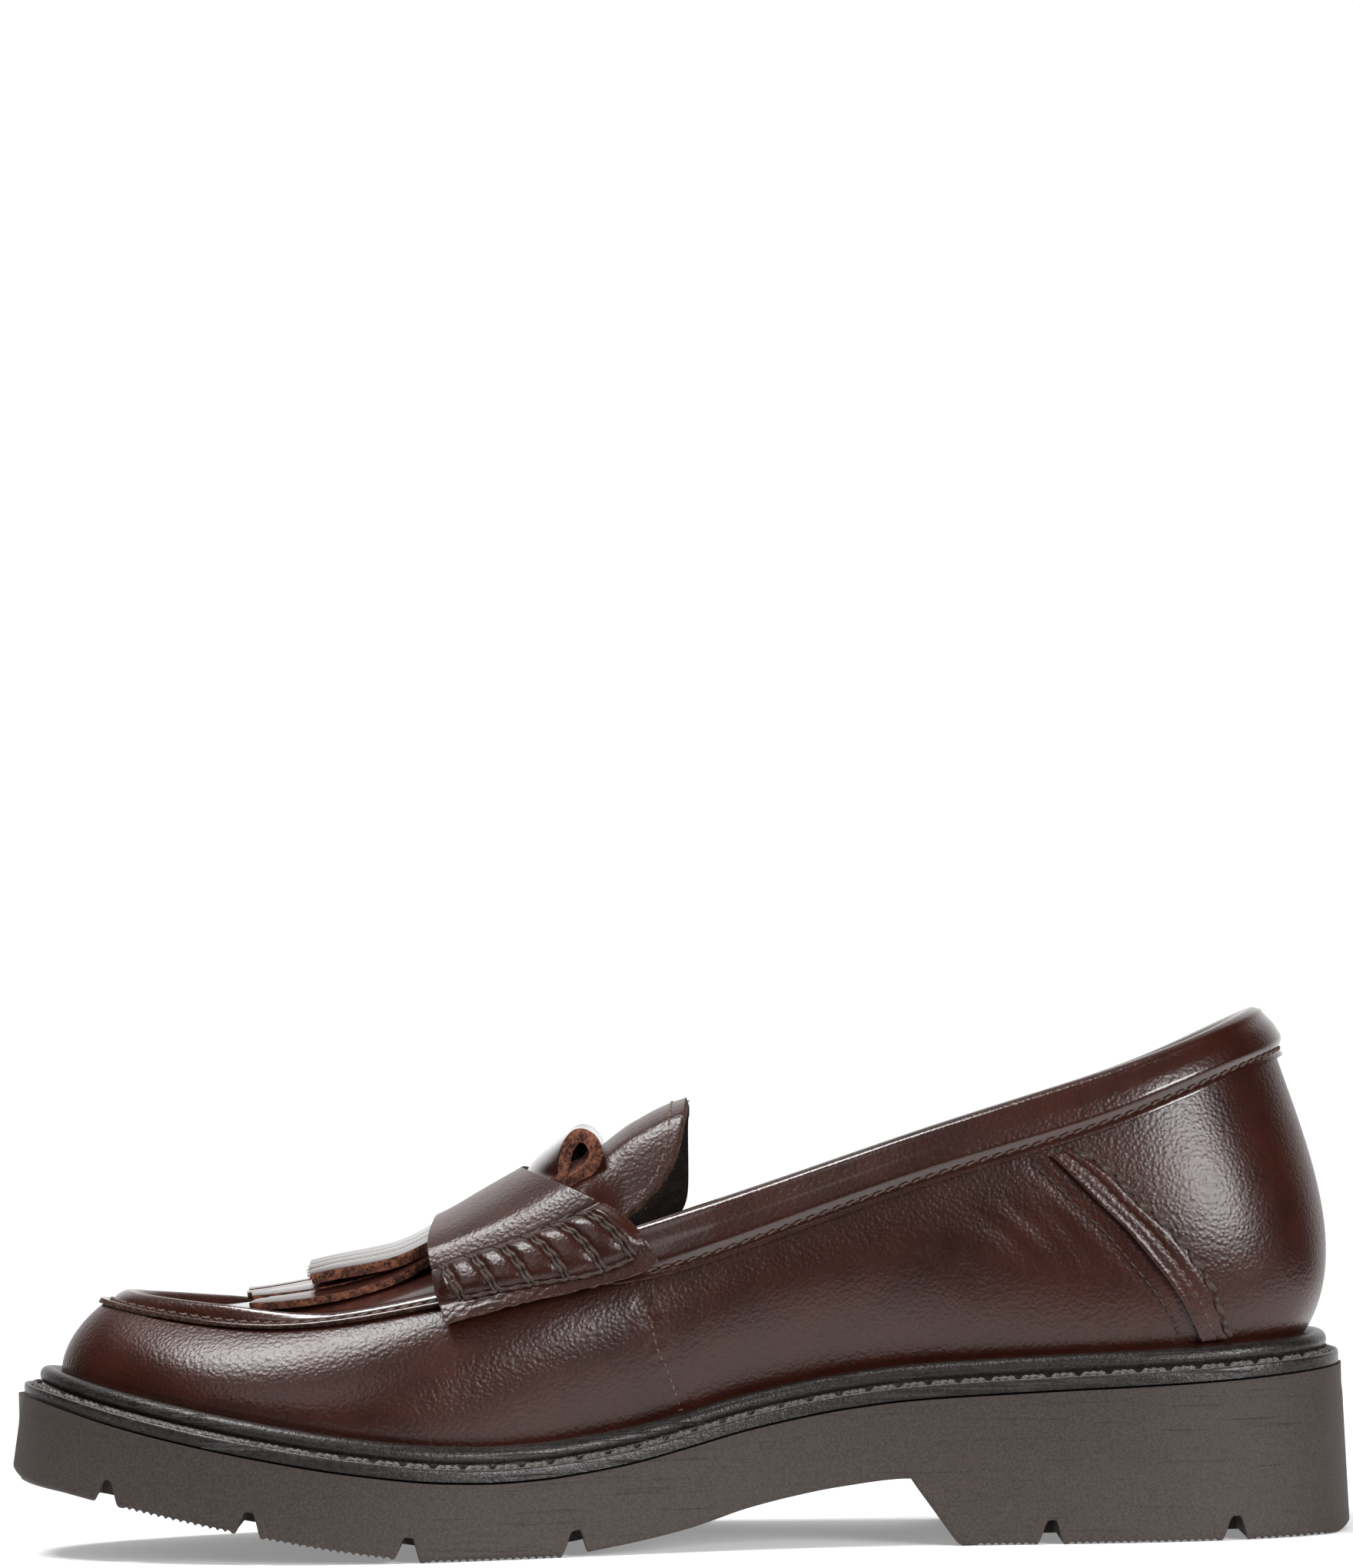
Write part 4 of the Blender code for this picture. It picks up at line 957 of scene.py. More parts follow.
SOFT_CREASES = [  # line in the side view, depth and half width
    ([(58.0, 66.0), (66.0, 60.0), (72.0, 52.0)], 0.30, 1.6),
    ([(63.0, 69.0), (71.0, 62.0), (77.5, 54.0)], 0.35, 1.5),
    ([(70.0, 68.0), (77.0, 61.0), (83.0, 52.0)], 0.30, 1.4),
    ([(48.0, 60.0), (56.0, 54.0), (60.0, 47.0)], 0.22, 2.2),
]


def pressed(point):
    """How deep creases and seams lie at points of the upper."""
    x, y, z = point[..., 0], point[..., 1], point[..., 2]
    inner = y < 0
    distance, _ = near_line(x, z, QUARTER_SEAM)
    seam = 0.28 * np.exp(-(distance / 0.5) ** 2) - 0.04 * np.exp(-((distance - 1.4) / 0.9) ** 2)
    depth = np.where(inner, seam, 0.0)
    distance, _ = near_line(x, z, QUARTER_STITCH)
    depth += 0.22 * np.exp(-(distance / 0.8) ** 2)
    for line, deep, half in SOFT_CREASES:
        distance, share = near_line(x, z, line)
        depth += deep * np.sin(math.pi * np.clip(share, 0, 1)) * np.exp(-(distance / half) ** 2)
    return depth


print("deepest press:", round(float(pressed(np.array([[-3.7, -30.0, 38.8]]))[0]), 2), "mm")

# %% Shape the upper
foot_levels, wall_levels = np.linspace(0.0, WALL_START, 4)[:-1], np.linspace(WALL_START, 1.0, 64)
levels = np.concatenate([foot_levels, wall_levels, np.linspace(1.0, 2.0, 26)[1:]])
share_grid, level_grid = np.meshgrid(around, levels)
face = upper_point(share_grid, level_grid)
face = face - pressed(face)[..., None] * upper_way(share_grid, level_grid)
upper = formed("upper_leather", face, flip=False)
walled(upper, LEATHER, soft=0.0)
dressed(upper, [upper_leather, lining], "upper", "upper", smooth_angle=60)

# %% [markdown]
# ## Apron of the moc toe
# The plug over the toes is sewn to the vamp with its raw edge showing, and the leather behind the stitches is
# pinched up into a round rim. It is one sheet whose height over the last changes with the distance from
# its edge: flat flange, stitch channel, rim, then the plug. The rim dies away under the kiltie.

# %% Shape the apron
apron_first, apron_last = SHARES[CORNER_IN + 1], SHARES[CORNER_OUT - 1]
apron_shares = around[(around > apron_first) & (around < apron_last)]
apron_across = np.concatenate([np.linspace(0, 9.0, 46), np.linspace(9.0, 15.8, 18)[1:]])
apron_levels = 1 + apron_across / (2 * NEAR_REACH)


def apron_height(u, v):
    """Height of the apron's face over the last."""
    away = (v - 1.0) * 2 * NEAR_REACH
    fade = smooth((-70.0 - shoulder_curve(u)[..., 0]) / 26.0)
    rim = np.sin(math.pi * np.clip((away - 1.1) / 7.4, 0, 1)) ** 1.15
    channel = 0.45 * np.exp(-((away - 1.5) / 0.5) ** 2)
    low_rim = 0.35 * np.sin(math.pi * np.clip((away - 1.5) / 6.0, 0, 1)) ** 1.2
    flat = SEAT_GAP + OVERLAY - 0.25 * np.exp(-away / 0.8) - channel
    return flat + RIM_HEIGHT * rim * fade + low_rim * (1 - fade)


u_grid, v_grid = np.meshgrid(apron_shares, apron_levels)
apron = formed("apron_plug", upper_offset(u_grid, v_grid, apron_height(u_grid, v_grid)), flip=False)
walled(apron, OVERLAY - 0.3, soft=0.15)
layer = np.empty(len(apron.data.polygons), np.int32)
apron.data.polygons.foreach_get("material_index", layer)
on_plug = (layer == 0) & (row_places(apron.data, True) > 0.70)
apron.data.polygons.foreach_set("material_index", np.where(on_plug, 3, layer).astype(np.int32))
dressed(apron, [smooth_leather, raw_edge, raw_edge, mirror_leather], "apron", "apron")

# %% Stitches of the apron
stitch_shares = np.linspace(apron_first + 0.004, apron_last - 0.004, 700)
stitch_levels = np.full(700, 1 + 1.5 / (2 * NEAR_REACH))
apron_line = upper_offset(stitch_shares, stitch_levels, apron_height(stitch_shares, stitch_levels) - 0.05)
apron_seam = (apron_line, upper_way(stitch_shares, stitch_levels))
apron_stitches = stitched("apron_stitches", [apron_seam], 2.75, 2.45, 0.34, slant=9.0, height=0.2, twist=0.75)
dressed(apron_stitches, [brown_thread], "apron")

# %% [markdown]
# ## Collar band
# A strip of leather is wrapped over the topline with foam under it and stitched along its lower edge, so it
# swells softly between the stitches and the opening. The sheet follows one profile: a flat flange, the padded
# swell, the round topline and the turn-in that covers the lining.

# %% Shape the band
band_first = float(np.interp(-18.0, INNER_SIDE[0], INNER_SIDE[3]))
band_last = float(np.interp(-18.0, OUTER_SIDE[0], OUTER_SIDE[3]))
back_run, front_run = np.linspace(band_last - 1.0, 0.0, 240), np.linspace(0.0, band_first, 240)[1:]
band_shares = np.concatenate([back_run, front_run])
INSIDE = -LEATHER - SEAT_GAP - 1.1


def collar_point(u, along, height):
    """A point by the collar: along runs up to 0 at the topline and past it, in millimetres."""
    length = np.linalg.norm(top_curve(u) - shoulder_curve(u), axis=-1)
    v = 2 + np.minimum(along, 0.0) / length
    rise = unit(upper_point(u, np.full_like(u, 1.999)) - upper_point(u, np.full_like(u, 1.95)))
    return upper_offset(u, v, height) + np.maximum(along, 0.0)[..., None] * rise


band_length = np.linalg.norm(top_curve(band_shares) - shoulder_curve(band_shares), axis=-1)
band_x = shoulder_curve(band_shares)[:, 0]
band_pad = BAND_PAD * np.clip((band_x + 18.0) / 26.0, 0.25, 1.0)
tab = 1 - 0.62 * (1 - np.clip((band_x + 18.0) / 8.0, 0, 1)) ** 3
rows = []
for t in np.concatenate([np.linspace(0, 0.3, 9), np.linspace(0.3, 1, 16)[1:]]):
    along = -band_length * tab * (1 - t) - 0.3 * t
    from_edge = band_length * t
    swell = smooth((from_edge - 1.4) / 2.2) * (1 - 0.55 * smooth((t - 0.55) / 0.45))
    groove = 0.35 * np.exp(-((from_edge - 1.5) / 0.5) ** 2)
    rows.append(collar_point(band_shares, along, SEAT_GAP + 1.0 + band_pad * swell - groove))
for angle in np.linspace(0, math.pi, 11)[1:-1]:
    middle, reach = (SEAT_GAP + 1.2 + INSIDE) / 2, (SEAT_GAP + 1.2 - INSIDE) / 2
    rows.append(collar_point(band_shares, np.full_like(band_shares, -0.3 + 1.5 * math.sin(angle)),
                             middle + reach * math.cos(angle)))
for t in np.linspace(0, 1, 8):
    rows.append(collar_point(band_shares, -0.3 - 0.42 * band_length * t, INSIDE + 0.6 * t * t))
band = formed("collar_band_padded", np.array(rows), flip=False)
walled(band, 0.9, soft=0.14)
dressed(band, [smooth_leather, raw_edge], "collar_band", "collar_band", smooth_angle=55)

# %% Stitches of the band
held = band_x > -9.0
seam_shares = band_shares[held]
seam_along = -(band_length * tab)[held] + 1.5
band_line = collar_point(seam_shares, seam_along, np.full(len(seam_shares), SEAT_GAP + 0.85))
band_ways = upper_way(seam_shares, np.full(len(seam_shares), 1.15))
band_stitches = stitched("band_stitches", [(band_line, band_ways)], 2.75, 2.35, 0.25, slant=8.0, height=0.05,
                         twist=0.8)
dressed(band_stitches, [brown_thread], "collar_band")

# %% [markdown]
# ## Heel strips
# The joint of quarter and heel piece is covered by a narrow curved strip on each side. Its front edge is
# turned under, a light row of stitches holds its middle, and a thick cord of stitches finishes its rear edge.
# Both strips are the same two lines in the side view, laid on the inner or the outer face.

# %% Shape the strips
def resampled(line, count):
    """Points at even steps along a line given by a few points, rounded at its corners."""
    line = np.array(line, float)
    travelled = np.append(0.0, np.cumsum(np.linalg.norm(np.diff(line, axis=0), axis=1)))
    at = np.linspace(0, travelled[-1], count)
    return np.column_stack([curve(list(zip(travelled, line[:, k])))(at) for k in range(line.shape[1])])


def wall_line(line, inner, height, count=160):
    """A line in the side view, laid on one side of the upper: its points and the ways out at them."""
    xz = resampled(line, count)
    u, v = wall_place(xz[:, 0], xz[:, 1], inner)
    return upper_offset(u, v, np.full(count, height)), upper_way(u, v)


for side_name, inner in (("inner", True), ("outer", False)):
    front, rear = resampled(STRIP_FRONT, 120), resampled(STRIP_REAR, 120)
    rows = []
    for t in np.linspace(0, 1, 17):
        xz = front + t * (rear - front)
        u, v = wall_place(xz[:, 0], xz[:, 1], inner)
        edge = np.exp(-((t - 0.06) / 0.06) ** 2) * 0.25
        channel = 0.16 * math.exp(-((t - 0.5) / 0.09) ** 2)
        end = 1 - 0.5 * smooth((t - 0.8) / 0.2)
        rows.append(upper_offset(u, v, np.full(120, SEAT_GAP + 0.1 + 0.95 * end + edge - channel)))
    strip = formed("heel_strip_" + side_name + "_leather", np.array(rows), flip=False)
    walled(strip, 0.9, soft=0.16)
    node = "heel_strip_" + side_name
    dressed(strip, [upper_leather], node, node)

# %% Stitches of the heel strips and the quarter
middle_line = (resampled(STRIP_FRONT, 9) + resampled(STRIP_REAR, 9)) / 2
quarter_seams = [wall_line(QUARTER_STITCH, inner, 0.05) for inner in (True, False)]
quarter_stitches = stitched("quarter_stitches", quarter_seams, 2.3, 2.1, 0.27, slant=9.0, height=0.0)
dressed(quarter_stitches, [dark_thread], "upper")
strip_seams = [wall_line(middle_line, inner, 1.2) for inner in (True, False)]
strip_stitches = stitched("strip_stitches", strip_seams, 2.5, 1.9, 0.24, slant=8.0, height=-0.05)
dressed(strip_stitches, [brown_thread], "heel_strip_inner")
cord_seams = [wall_line(STRIP_REAR, inner, 0.55) for inner in (True, False)]
cord_stitches = stitched("strip_cords", cord_seams, 5.1, 5.2, 0.70, slant=5.0, height=0.35, twist=1.7)
dressed(cord_stitches, [dark_thread], "heel_strip_inner")
seam_stitches = stitched("butt_seam_stitches", [wall_line(QUARTER_SEAM, True, -0.15)], 1.7, 1.25, 0.17)
dressed(seam_stitches, [tan_thread], "upper")

# %% [markdown]
# ## Tongue
# The tongue is one arched sheet over the instep with a rounded end, its edge left raw and a row of light
# stitches just inside it. It carries on the crown of the last past the throat.

# %% Shape the tongue
TONGUE_START, TONGUE_HALF = -41.0, 25.6


def tongue_point(across, along, height):
    """The tongue's face: across from -1 to 1, along from under the kiltie to the rounded end."""
    a = np.abs(across)
    end = np.where(across < 0, 2.6 - 1.2 * a**2 - 23.0 * a**12.5, 2.8 - 8.8 * a**30)
    x = TONGUE_START + along * (end - TONGUE_START)
    point = lifted(x, -0.1 + across * TONGUE_HALF, height)
    point[..., 2] -= np.where(across < 0, 9.0, 14.0) * smooth((a - 0.60) / 0.40) * smooth((x + 19.0) / 10.0)
    return point


across_grid, along_grid = np.meshgrid(np.sin(np.linspace(-1, 1, 91) * math.pi / 2), np.linspace(0, 1, 60))
tongue = formed("tongue_leather", tongue_point(across_grid, along_grid, 2.0 + TONGUE_THICKNESS), flip=False)
walled(tongue, TONGUE_THICKNESS + 0.5, soft=0.3)
# The tongue's back is near black: painted shade under the tongue.
dressed(tongue, [upper_leather, painted_shade_black, raw_edge], "tongue", "tongue")
trace = np.linspace(-0.9, 0.9, 300)
tongue_line = tongue_point(trace, np.full(300, 0.935), 2.05 + TONGUE_THICKNESS)
row, further = np.full(300, 0.94), np.full(300, 0.95)
tongue_ways = np.cross(tongue_point(trace + 0.01, row, 0) - tongue_point(trace, row, 0),
                       tongue_point(trace, further, 0) - tongue_point(trace, row, 0))
tongue_ways = unit(tongue_ways * np.sign(tongue_ways[:, 2:3]))
tongue_stitches = stitched("tongue_stitches", [(tongue_line, tongue_ways)], 2.7, 2.1, 0.22, slant=6.0)
dressed(tongue_stitches, [tan_thread], "tongue")
edge_trace = np.linspace(-0.97, 0.2, 200)
edge_line = tongue_point(edge_trace, np.full(200, 0.999), 1.0 + TONGUE_THICKNESS)
edge_ways = np.column_stack([np.full(200, 0.7), edge_trace, np.full(200, 0.3)])
tongue_fuzz = fuzzed("tongue_fuzz", [(edge_line, edge_ways)], 3.0, 0.5, 11)
dressed(tongue_fuzz, [raw_edge], "tongue")

# %% [markdown]
# ## Kiltie
# The kiltie is one piece of leather, cut into strips at both ends and folded back over itself behind the
# strap, so a short fringe lies on a longer one. A grid follows the fold, and the faces between the strips are
# deleted before the sheet gets its thickness. Its cut sides and its back are reddish suede with loose fibres,
# and the tips are cut askew.

# %% Path of the kiltie
FOLD = [  # x and z in the middle, then at the two sides
    (-26.0, 73.2, -21.0, 71.9), (-21.5, 75.8, -18.2, 73.7), (-18.0, 78.0, -16.0, 75.5),
    (-16.2, 79.3, -15.3, 78.3), (-17.4, 80.9, -16.5, 80.8), (-20.4, 80.3, -18.8, 81.6),
    (-24.0, 77.9, -20.7, 79.4), (-27.0, 75.4, -21.6, 76.0), (-29.3, 72.6, -23.0, 72.4),
]
FOLD_HALF = 20.0
FRINGE_UNDER = [  # x, height over the last and half width, as in the next table
    (-86.0, 3.1, 22.8), (-80.0, 3.0, 24.0), (-72.0, 2.9, 25.0), (-64.0, 2.8, 25.0), (-55.0, 3.0, 24.0),
    (-47.0, 4.1, 22.6), (-39.0, 4.35, 21.4), (-31.0, 4.35, 20.4),
]
FRINGE_OVER = [
    (-33.0, 5.95, 20.2), (-40.0, 5.95, 20.8), (-47.0, 5.8, 21.2), (-54.0, 4.8, 21.6),
    (-60.0, 4.4, 22.0), (-67.0, 4.3, 22.2), (-73.0, 4.3, 22.4),
]


def flat_row(x, height, half, across):
    """One row of the kiltie where it lies on the vamp."""
    return lifted(x + 0 * across, middle_and_half(x)[0] + across * half, height)


def fold_row(x, z, side_x, side_z, across):
    """One row of the kiltie round its fold."""
    t = np.abs(across) ** 3
    return np.column_stack([(1 - t) * x + t * side_x, -0.1 + across * FOLD_HALF, (1 - t) * z + t * side_z])


def through(knots, at):
    """A smooth line through knots (n, ...) read at fractions of the way, by Catmull-Rom spans."""
    where = np.clip(at, 0, len(knots) - 1 - 1e-9)
    i = np.floor(where).astype(int)
    t = (where - i).reshape((-1,) + (1,) * (knots.ndim - 1))
    p0, p1, p2, p3 = (knots[np.clip(i + k, 0, len(knots) - 1)] for k in (-1, 0, 1, 2))
    return 0.5 * (2 * p1 + (p2 - p0) * t + (2 * p0 - 5 * p1 + 4 * p2 - p3) * t * t
                  + (3 * p1 - p0 - 3 * p2 + p3) * t**3)


print(len(FRINGE_UNDER) + len(FOLD) + len(FRINGE_OVER), "rows along the kiltie")

# %% Cut and fold the kiltie
rng = np.random.default_rng(7)
across_columns, strip_of, in_gap = [], [], []
for strip in range(FRINGE_STRIPS):
    inside = np.linspace(strip + 0.035, strip + 0.965, 10) / FRINGE_STRIPS * 2 - 1
    across_columns += list(inside)
    strip_of += [strip] * 10
    in_gap += [False] * 9 + [True]
across_columns, strip_of = np.array(across_columns), np.array(strip_of)
knots = np.array([flat_row(*row, across_columns) for row in FRINGE_UNDER]
                 + [fold_row(*row, across_columns) for row in FOLD]
                 + [flat_row(*row, across_columns) for row in FRINGE_OVER])
last_knot = len(knots) - 1
path = np.concatenate([np.linspace(0, 7, 64), np.linspace(7, 17, 70)[1:], np.linspace(17, last_knot, 56)[1:]])
sheet = through(knots, path)
within = (across_columns + 1) / 2 * FRINGE_STRIPS - strip_of - 0.5
for end, tips in ((0, rng.uniform(-0.8, 1.6, 9)), (last_knot, rng.uniform(-0.8, 1.2, 9))):
    fade = np.clip(1 - np.abs(path - end) / 1.0, 0, 1)[:, None]
    askew = 1.0 * np.abs(within) * 2 + 1.4 * (within + 0.5) + tips[strip_of]
    if end == 0:
        askew += np.where(strip_of == 0, 4.5 * (within + 0.5), 0.0)
    sheet[..., 0] += fade * askew[None, :]
for end, lift in ((0, rng.uniform(0.0, 0.9, 9)), (last_knot, rng.uniform(1.5, 2.1, 9))):
    fade = smooth(1 - np.abs(path - end) / 4.0)[:, None]
    cup = 0.35 * (1 - (2 * within) ** 2)
    sheet[..., 2] += fade * (lift[strip_of] + cup)[None, :]
sheet[..., 2] += 0.4 * smooth((path - 16.0) / 2.0)[:, None]
fringed = (path[:-1] < 3.9) | (path[1:] > last_knot - 5.1)
hold = ~(fringed[:, None] & np.array(in_gap[:-1])[None, :])
kiltie = formed("kiltie_fringe", sheet, hold=hold)
print(len(path), "rows and", len(across_columns), "columns")

# %% Thickness and faces of the kiltie
FLESH = 2.7  # millimetres at the fold, where the suede is thickest


def path_places(per_face):
    """How far along the kiltie each point or each face lies."""
    return np.interp(row_places(kiltie.data, per_face) * (len(path) - 1), np.arange(len(path)), path)


thick = kiltie.vertex_groups.new(name="thick")
weights = np.interp(path_places(False), [0, 6, 9, 15, 18, last_knot], [0.56, 0.60, 1.0, 1.0, 0.86, 0.8])
for index, weight in enumerate(weights):
    thick.add([index], weight, "REPLACE")
for _ in range(3):
    kiltie.data.materials.append(None)
applied(kiltie, "SOLIDIFY", thickness=FLESH * MM, offset=0.0, use_even_offset=False, vertex_group="thick",
        material_offset=1, material_offset_rim=2)
faces = kiltie.data.polygons
side_of, normals = np.empty(len(faces), np.int32), np.empty(len(faces) * 3)
faces.foreach_get("material_index", side_of)
faces.foreach_get("normal", normals)
places = path_places(True)
behind = (places > 10.0) & (places < 12.0) & (side_of == 0)
outer_side = 0 if normals[0::3][behind].mean() > 0 else 1
is_suede = (side_of == 2) | ((side_of != outer_side) & (places > 6.5))
faces.foreach_set("material_index", is_suede.astype(np.int32))
applied(kiltie, "BEVEL", width=0.14 * MM, segments=2, limit_method="ANGLE", angle_limit=math.radians(55))
dressed(kiltie, [mirror_leather, suede], "kiltie", "kiltie")

# %% Painted shade inside the fold, and loose fibres
fold = np.array(FOLD[1:7]).mean(axis=0)
core_y, turn = np.meshgrid(np.linspace(-16.6, 16.6, 41), np.linspace(0, 2 * math.pi, 21), indexing="ij")
t = np.abs(core_y / FOLD_HALF) ** 3
size = np.sqrt(np.clip(1 - (core_y / 16.7) ** 12, 0, 1))
tall, wide = size * 3.6 * np.cos(turn), size * 1.9 * np.sin(turn)
# A near-black core fills the hollow of the fold: painted shade that stands in for the shadow inside the loop.
core = formed("kiltie_fold_shade_core", np.stack([
    (1 - t) * fold[0] + t * fold[2] + 0.38 * tall + 0.92 * wide, core_y,
    (1 - t) * fold[1] + t * fold[3] + 0.92 * tall - 0.38 * wide], -1))
dressed(core, [painted_shade_black], "kiltie")
sides = []
for rows, drop in ((path > 17.3, 0.3), ((path > 9.0) & (path < 15.5), 0.0)):
    line = sheet[rows][:, 0] - np.array([0.0, 0.0, drop])
    sides.append((line, np.tile([0.0, -1.0, -0.25], (len(line), 1))))
tips_line = sheet[-1][np.argsort(sheet[-1][:, 1])]
tips_ways = np.tile([-1.0, -0.2, -0.1], (len(tips_line), 1))
kiltie_fuzz = fuzzed("kiltie_fuzz", [*sides, sides[0], (tips_line, tips_ways)], 6.0, 0.62, 5)
dressed(kiltie_fuzz, [suede], "kiltie")

# %% [markdown]
# ## Saddle strap
# The strap lies over the kiltie and comes down to a point on each side. Near each lower edge the leather is
# gathered over a cord into a roll, and six double threads are wrapped over the roll, which bulges between
# them. Below the roll a flange with a raw edge lies flat on the vamp.

# %% Place of the strap
STRAP = [  # step across the shoe, then x and q of the front edge and of the rear edge
    (0.00, -44.3, 0.00, -26.8, 0.00), (0.25, -44.8, 0.28, -25.6, 0.26), (0.50, -46.0, 0.56, -22.5, 0.51),
    (0.72, -46.8, 0.79, -16.5, 0.72), (0.88, -46.6, 0.98, -9.0, 0.86), (1.00, -45.4, 1.18, -3.2, 0.985),
]
STRAP_LIFT = [  # step, then height over the last at the front edge and at the rear edge
    (0.00, 6.9, 6.9), (0.50, 6.9, 6.9), (0.66, 6.4, 6.9), (0.80, 3.2, 6.0), (0.90, 2.1, 5.6),
    (1.00, 2.1, 5.4),
]
ROLL_FIRST, ROLL_LAST = 0.78, 0.93
WRAPS = [0.085, 0.25, 0.415, 0.58, 0.745, 0.89]
front_x, front_q, rear_x, rear_q = (curve([(row[0], row[k]) for row in STRAP]) for k in (1, 2, 3, 4))
front_lift, rear_lift = (curve([(row[0], row[k]) for row in STRAP_LIFT]) for k in (1, 2))


def strap_point(step, along, proud):
    """The strap's face: step from -1 to 1 across the shoe, along from its front to its rear edge."""
    step, along, proud = np.broadcast_arrays(step, along, proud)
    s = np.abs(step)
    x = (1 - along) * front_x(s) + along * rear_x(s)
    q = np.sign(step) * ((1 - along) * front_q(s) + along * rear_q(s))
    lift = (1 - along) * front_lift(s) + along * rear_lift(s)
    return section_point(x, q) + (lift + proud)[..., None] * section_way(x, q)


def roll_edges(along):
    """The steps between which the roll lies, a little lower towards the strap's rear."""
    return ROLL_FIRST + 0.028 * along, ROLL_LAST + 0.034 * along


def roll_height(step, along):
    """Height of the roll over the strap, pinched in where the threads are wrapped."""
    first, last = roll_edges(along)
    place = (np.abs(step) - first) / (last - first)
    roll = np.sqrt(np.clip(1 - (2 * np.clip(place, 0, 1) - 1) ** 2, 0, 1)) ** 1.2
    pinch = np.zeros(np.shape(roll))
    for wrap in WRAPS:
        pinch = np.maximum(pinch, np.exp(-((along - wrap - 0.05 * (place - 0.5)) / 0.03) ** 2))
    ends = smooth(np.minimum(along, 1 - along) / 0.08)
    return ROLL_HEIGHT * roll * (0.97 - 0.27 * pinch) * (0.25 + 0.75 * ends)


print("the roll stands", round(float(roll_height(0.855, 0.34)), 2), "mm over the strap")

# %% Shape the strap
half_steps = np.concatenate([np.linspace(0, 0.7, 40), np.linspace(0.7, 1.0, 66)[1:]])
steps = np.concatenate([-half_steps[:0:-1], half_steps])
step_grid, along_grid = np.meshgrid(steps, np.linspace(0, 1, 110))
s_grid = np.abs(step_grid)
proud = STRAP_THICKNESS + roll_height(step_grid, along_grid)
first_grid, last_grid = roll_edges(along_grid)
for line in (first_grid - 0.012, last_grid + 0.010):
    proud -= 0.4 * np.exp(-((s_grid - line) / 0.008) ** 2)
flange_grid = smooth((s_grid - last_grid - 0.008) / 0.02)
ripple = np.sin(along_grid * 61.0 + 3.0 * np.sin(along_grid * 17.0))
ripple = ripple * np.sin(s_grid * 240.0 + along_grid * 9.0)
proud += flange_grid * (0.05 * ripple - 0.35)
strap = formed("saddle_strap", strap_point(step_grid, along_grid, proud), flip=False)
walled(strap, 1.2, soft=0.16)
dressed(strap, [upper_leather, raw_edge], "strap", "strap", smooth_angle=60)

# %% Wraps and threads of the roll
threads = []
for side in (-1.0, 1.0):
    for wrap in WRAPS:
        for shift in (-0.011, 0.011):
            share = np.linspace(0, 1, 30)
            along = wrap + shift + 0.05 * (share - 0.5) * 1.16
            first, last = roll_edges(along)
            s = first - 0.012 + share * (last - first + 0.022)
            height = STRAP_THICKNESS + roll_height(s, along) + 0.1 - 0.35 * (2 * share - 1) ** 8
            line = strap_point(side * s, along, height)
            ways = strap_point(side * s, along, height + 1.0) - line
            threads.append(swept_thread("wrap", line, ways, 0.44, twist=1.6))
    for which, reach, start in ((0, -0.012, -0.029), (1, 0.010, 0.029)):
        for before, after in zip(WRAPS[:-1], WRAPS[1:]):
            along = np.linspace(before + start, after + start, 24)
            s = roll_edges(along)[which] + reach
            height = np.full(24, STRAP_THICKNESS - 0.1)
            line = strap_point(side * s, along, height)
            ways = strap_point(side * s, along, height + 1.0) - line
            threads.append(swept_thread("run", line, ways, 0.40, twist=1.6))
only(*threads)
bpy.ops.object.join()
strap_threads = bpy.context.object
strap_threads.name = strap_threads.data.name = "strap_threads"
dressed(strap_threads, [dark_thread], "strap")

# %% [markdown]
# ## Insole
# Inside lies a soft sock on a thin pad. It fills the floor of the shoe and cups a little at the heel. It is
# made as rings that shrink to a spine, so its edge can roll down softly.

# %% Shape the insole
sock_shares = turning_shares(260)
sock_inset = upper_inset(edge_curve(sock_shares)[:, 0]) + LEATHER + 0.9
outline = edge_point(sock_shares, sock_inset, 0.0)
spine = np.column_stack([np.clip(outline[:, 0], -96.0, 100.0), 0 * sock_shares, 0 * sock_shares])
rows = []
rolled_edge = [(1.0, 0.0), (1.0, 1.6), (0.985, 2.6), (0.955, 3.2)]
for t, height in rolled_edge + [(t, INSOLE_THICKNESS) for t in np.linspace(0.91, 0, 22)]:
    ring = spine + t * (outline - spine)
    cup = 0.0 if t > 0.95 else -0.35 * (1 - t * t)
    ring[:, 2] = deck(ring[:, 0]) + SEAT_GAP + height + cup
    rows.append(ring)
rows += [np.column_stack([row[:, :2], deck(row[:, 0]) + SEAT_GAP]) for row in (rows[-1], rows[0])]
insole = formed("insole_sock", np.array(rows))
dressed(insole, [lining], "insole", "insole")

# %% [markdown]
# ## Floor, light and room
# The photograph is a bright-field picture: white paper behind, above and beside the shoe, and darkness
# around the camera. The gloss of the leather mirrors that room, white along every upper edge and near black
# facing us. The room is a sky whose brightness depends on direction, with soft boxes for the broad glints.
# The floor is a sheet of paper that fades out all round, so that it shows no edge.

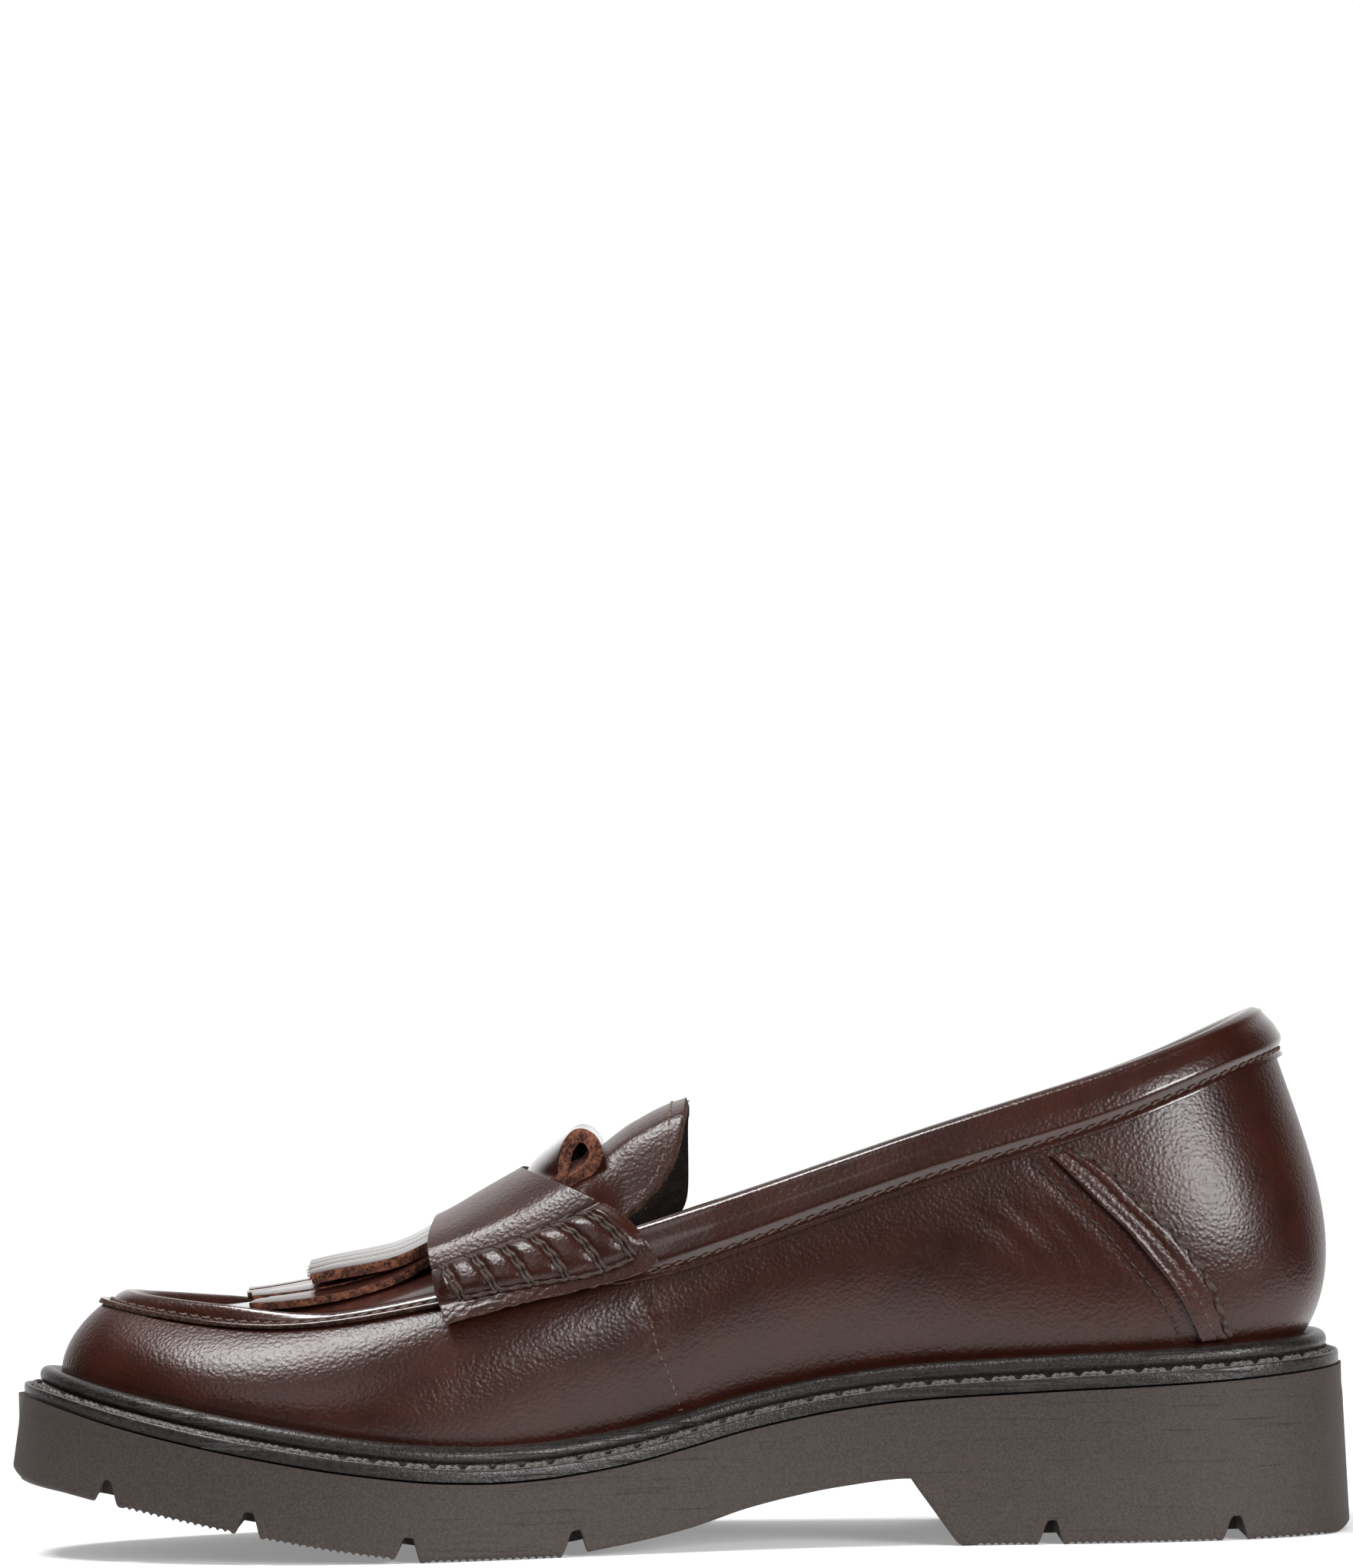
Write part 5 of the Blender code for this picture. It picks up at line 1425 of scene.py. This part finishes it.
# %% Floor
bpy.context.scene.view_settings.view_transform = "Standard"
bpy.ops.object.select_all(action="DESELECT")
bpy.ops.mesh.primitive_plane_add(size=1.8, location=(0.0, 0.0, 0.0))
floor = bpy.context.object
floor.name = "floor"
floor_finish = Finish("floor_paper")
paper = floor_finish.noise(3.0, 2.0)
across_floor, along_floor = (floor_finish.node("ShaderNodeSeparateXYZ", {}, {0: floor_finish.place}, axis)
                             for axis in ("X", "Y"))
radius = (across_floor * across_floor + along_floor * along_floor) ** 0.5
kept = (1.0 - floor_finish.ramp(radius, 0.26, 0.60)) * floor_finish.ramp(along_floor, -0.17, -0.07)
floor.data.materials.append(floor_finish.done(
    floor_finish.mix(paper, (0.88, 0.88, 0.88), (0.91, 0.91, 0.91)), 0.9 + paper * 0.05, paper, 0.01,
    **{"Specular IOR Level": 0.1, "Alpha": kept, "Emission Color": (1.0, 1.0, 1.0, 1.0),
       "Emission Strength": 0.25}))
print("floor is", floor.dimensions.x, "m wide")

# %% Sky
world = bpy.data.worlds.new("studio")
bpy.context.scene.world = world
world.use_nodes = True
room = Finish("room", world.node_tree)
SKY_DARK, SKY_WHITE = 0.012, 1.05
way = room.node("ShaderNodeTexCoord", {}, {}, "Generated")
away, height_up = (room.node("ShaderNodeSeparateXYZ", {}, {0: way}, axis) for axis in ("Y", "Z"))
white = room.ramp(away + height_up * 0.15, 0.42, 0.95)
seen = room.node("ShaderNodeLightPath", {}, {}, "Is Camera Ray")
strength = (white * SKY_WHITE + SKY_DARK).combine("MAXIMUM", seen * SKY_WHITE)
sky = room.node("ShaderNodeBackground", {}, {"Color": (1.0, 1.0, 1.0, 1.0), "Strength": strength})
room.node("ShaderNodeOutputWorld", {}, {"Surface": sky})
print("sky from", SKY_DARK, "behind the camera to", SKY_WHITE + SKY_DARK, "behind the shoe")


# %% Soft boxes
def soft_box(name, place, aim, width, height, power):
    """A rectangular soft light at a place, in metres, that faces a point."""
    data = bpy.data.lights.new(name, "AREA")
    data.shape, data.size, data.size_y, data.energy = "RECTANGLE", width, height, power
    light = bpy.data.objects.new(name, data)
    place = Vector(place)
    light.location = place
    light.rotation_euler = (Vector(aim) - place).to_track_quat("-Z", "Y").to_euler()
    bpy.context.scene.collection.objects.link(light)
    return light


soft_box("left_box", (-0.48, -0.16, 1.27), (-0.05, 0.0, 0.04), 0.55, 0.45, 15.0)
soft_box("right_box", (0.84, -1.12, 0.44), (0.10, 0.0, 0.07), 0.70, 0.45, 17.0)
soft_box("front_box", (-0.7, -1.3, 0.8), (0.0, 0.0, 0.04), 0.9, 0.7, 3.0)
top_box = soft_box("top_box", (0.1, -0.10, 1.3), (0.0, 0.0, 0.03), 1.5, 1.0, 7.0)
top_box.visible_glossy = False
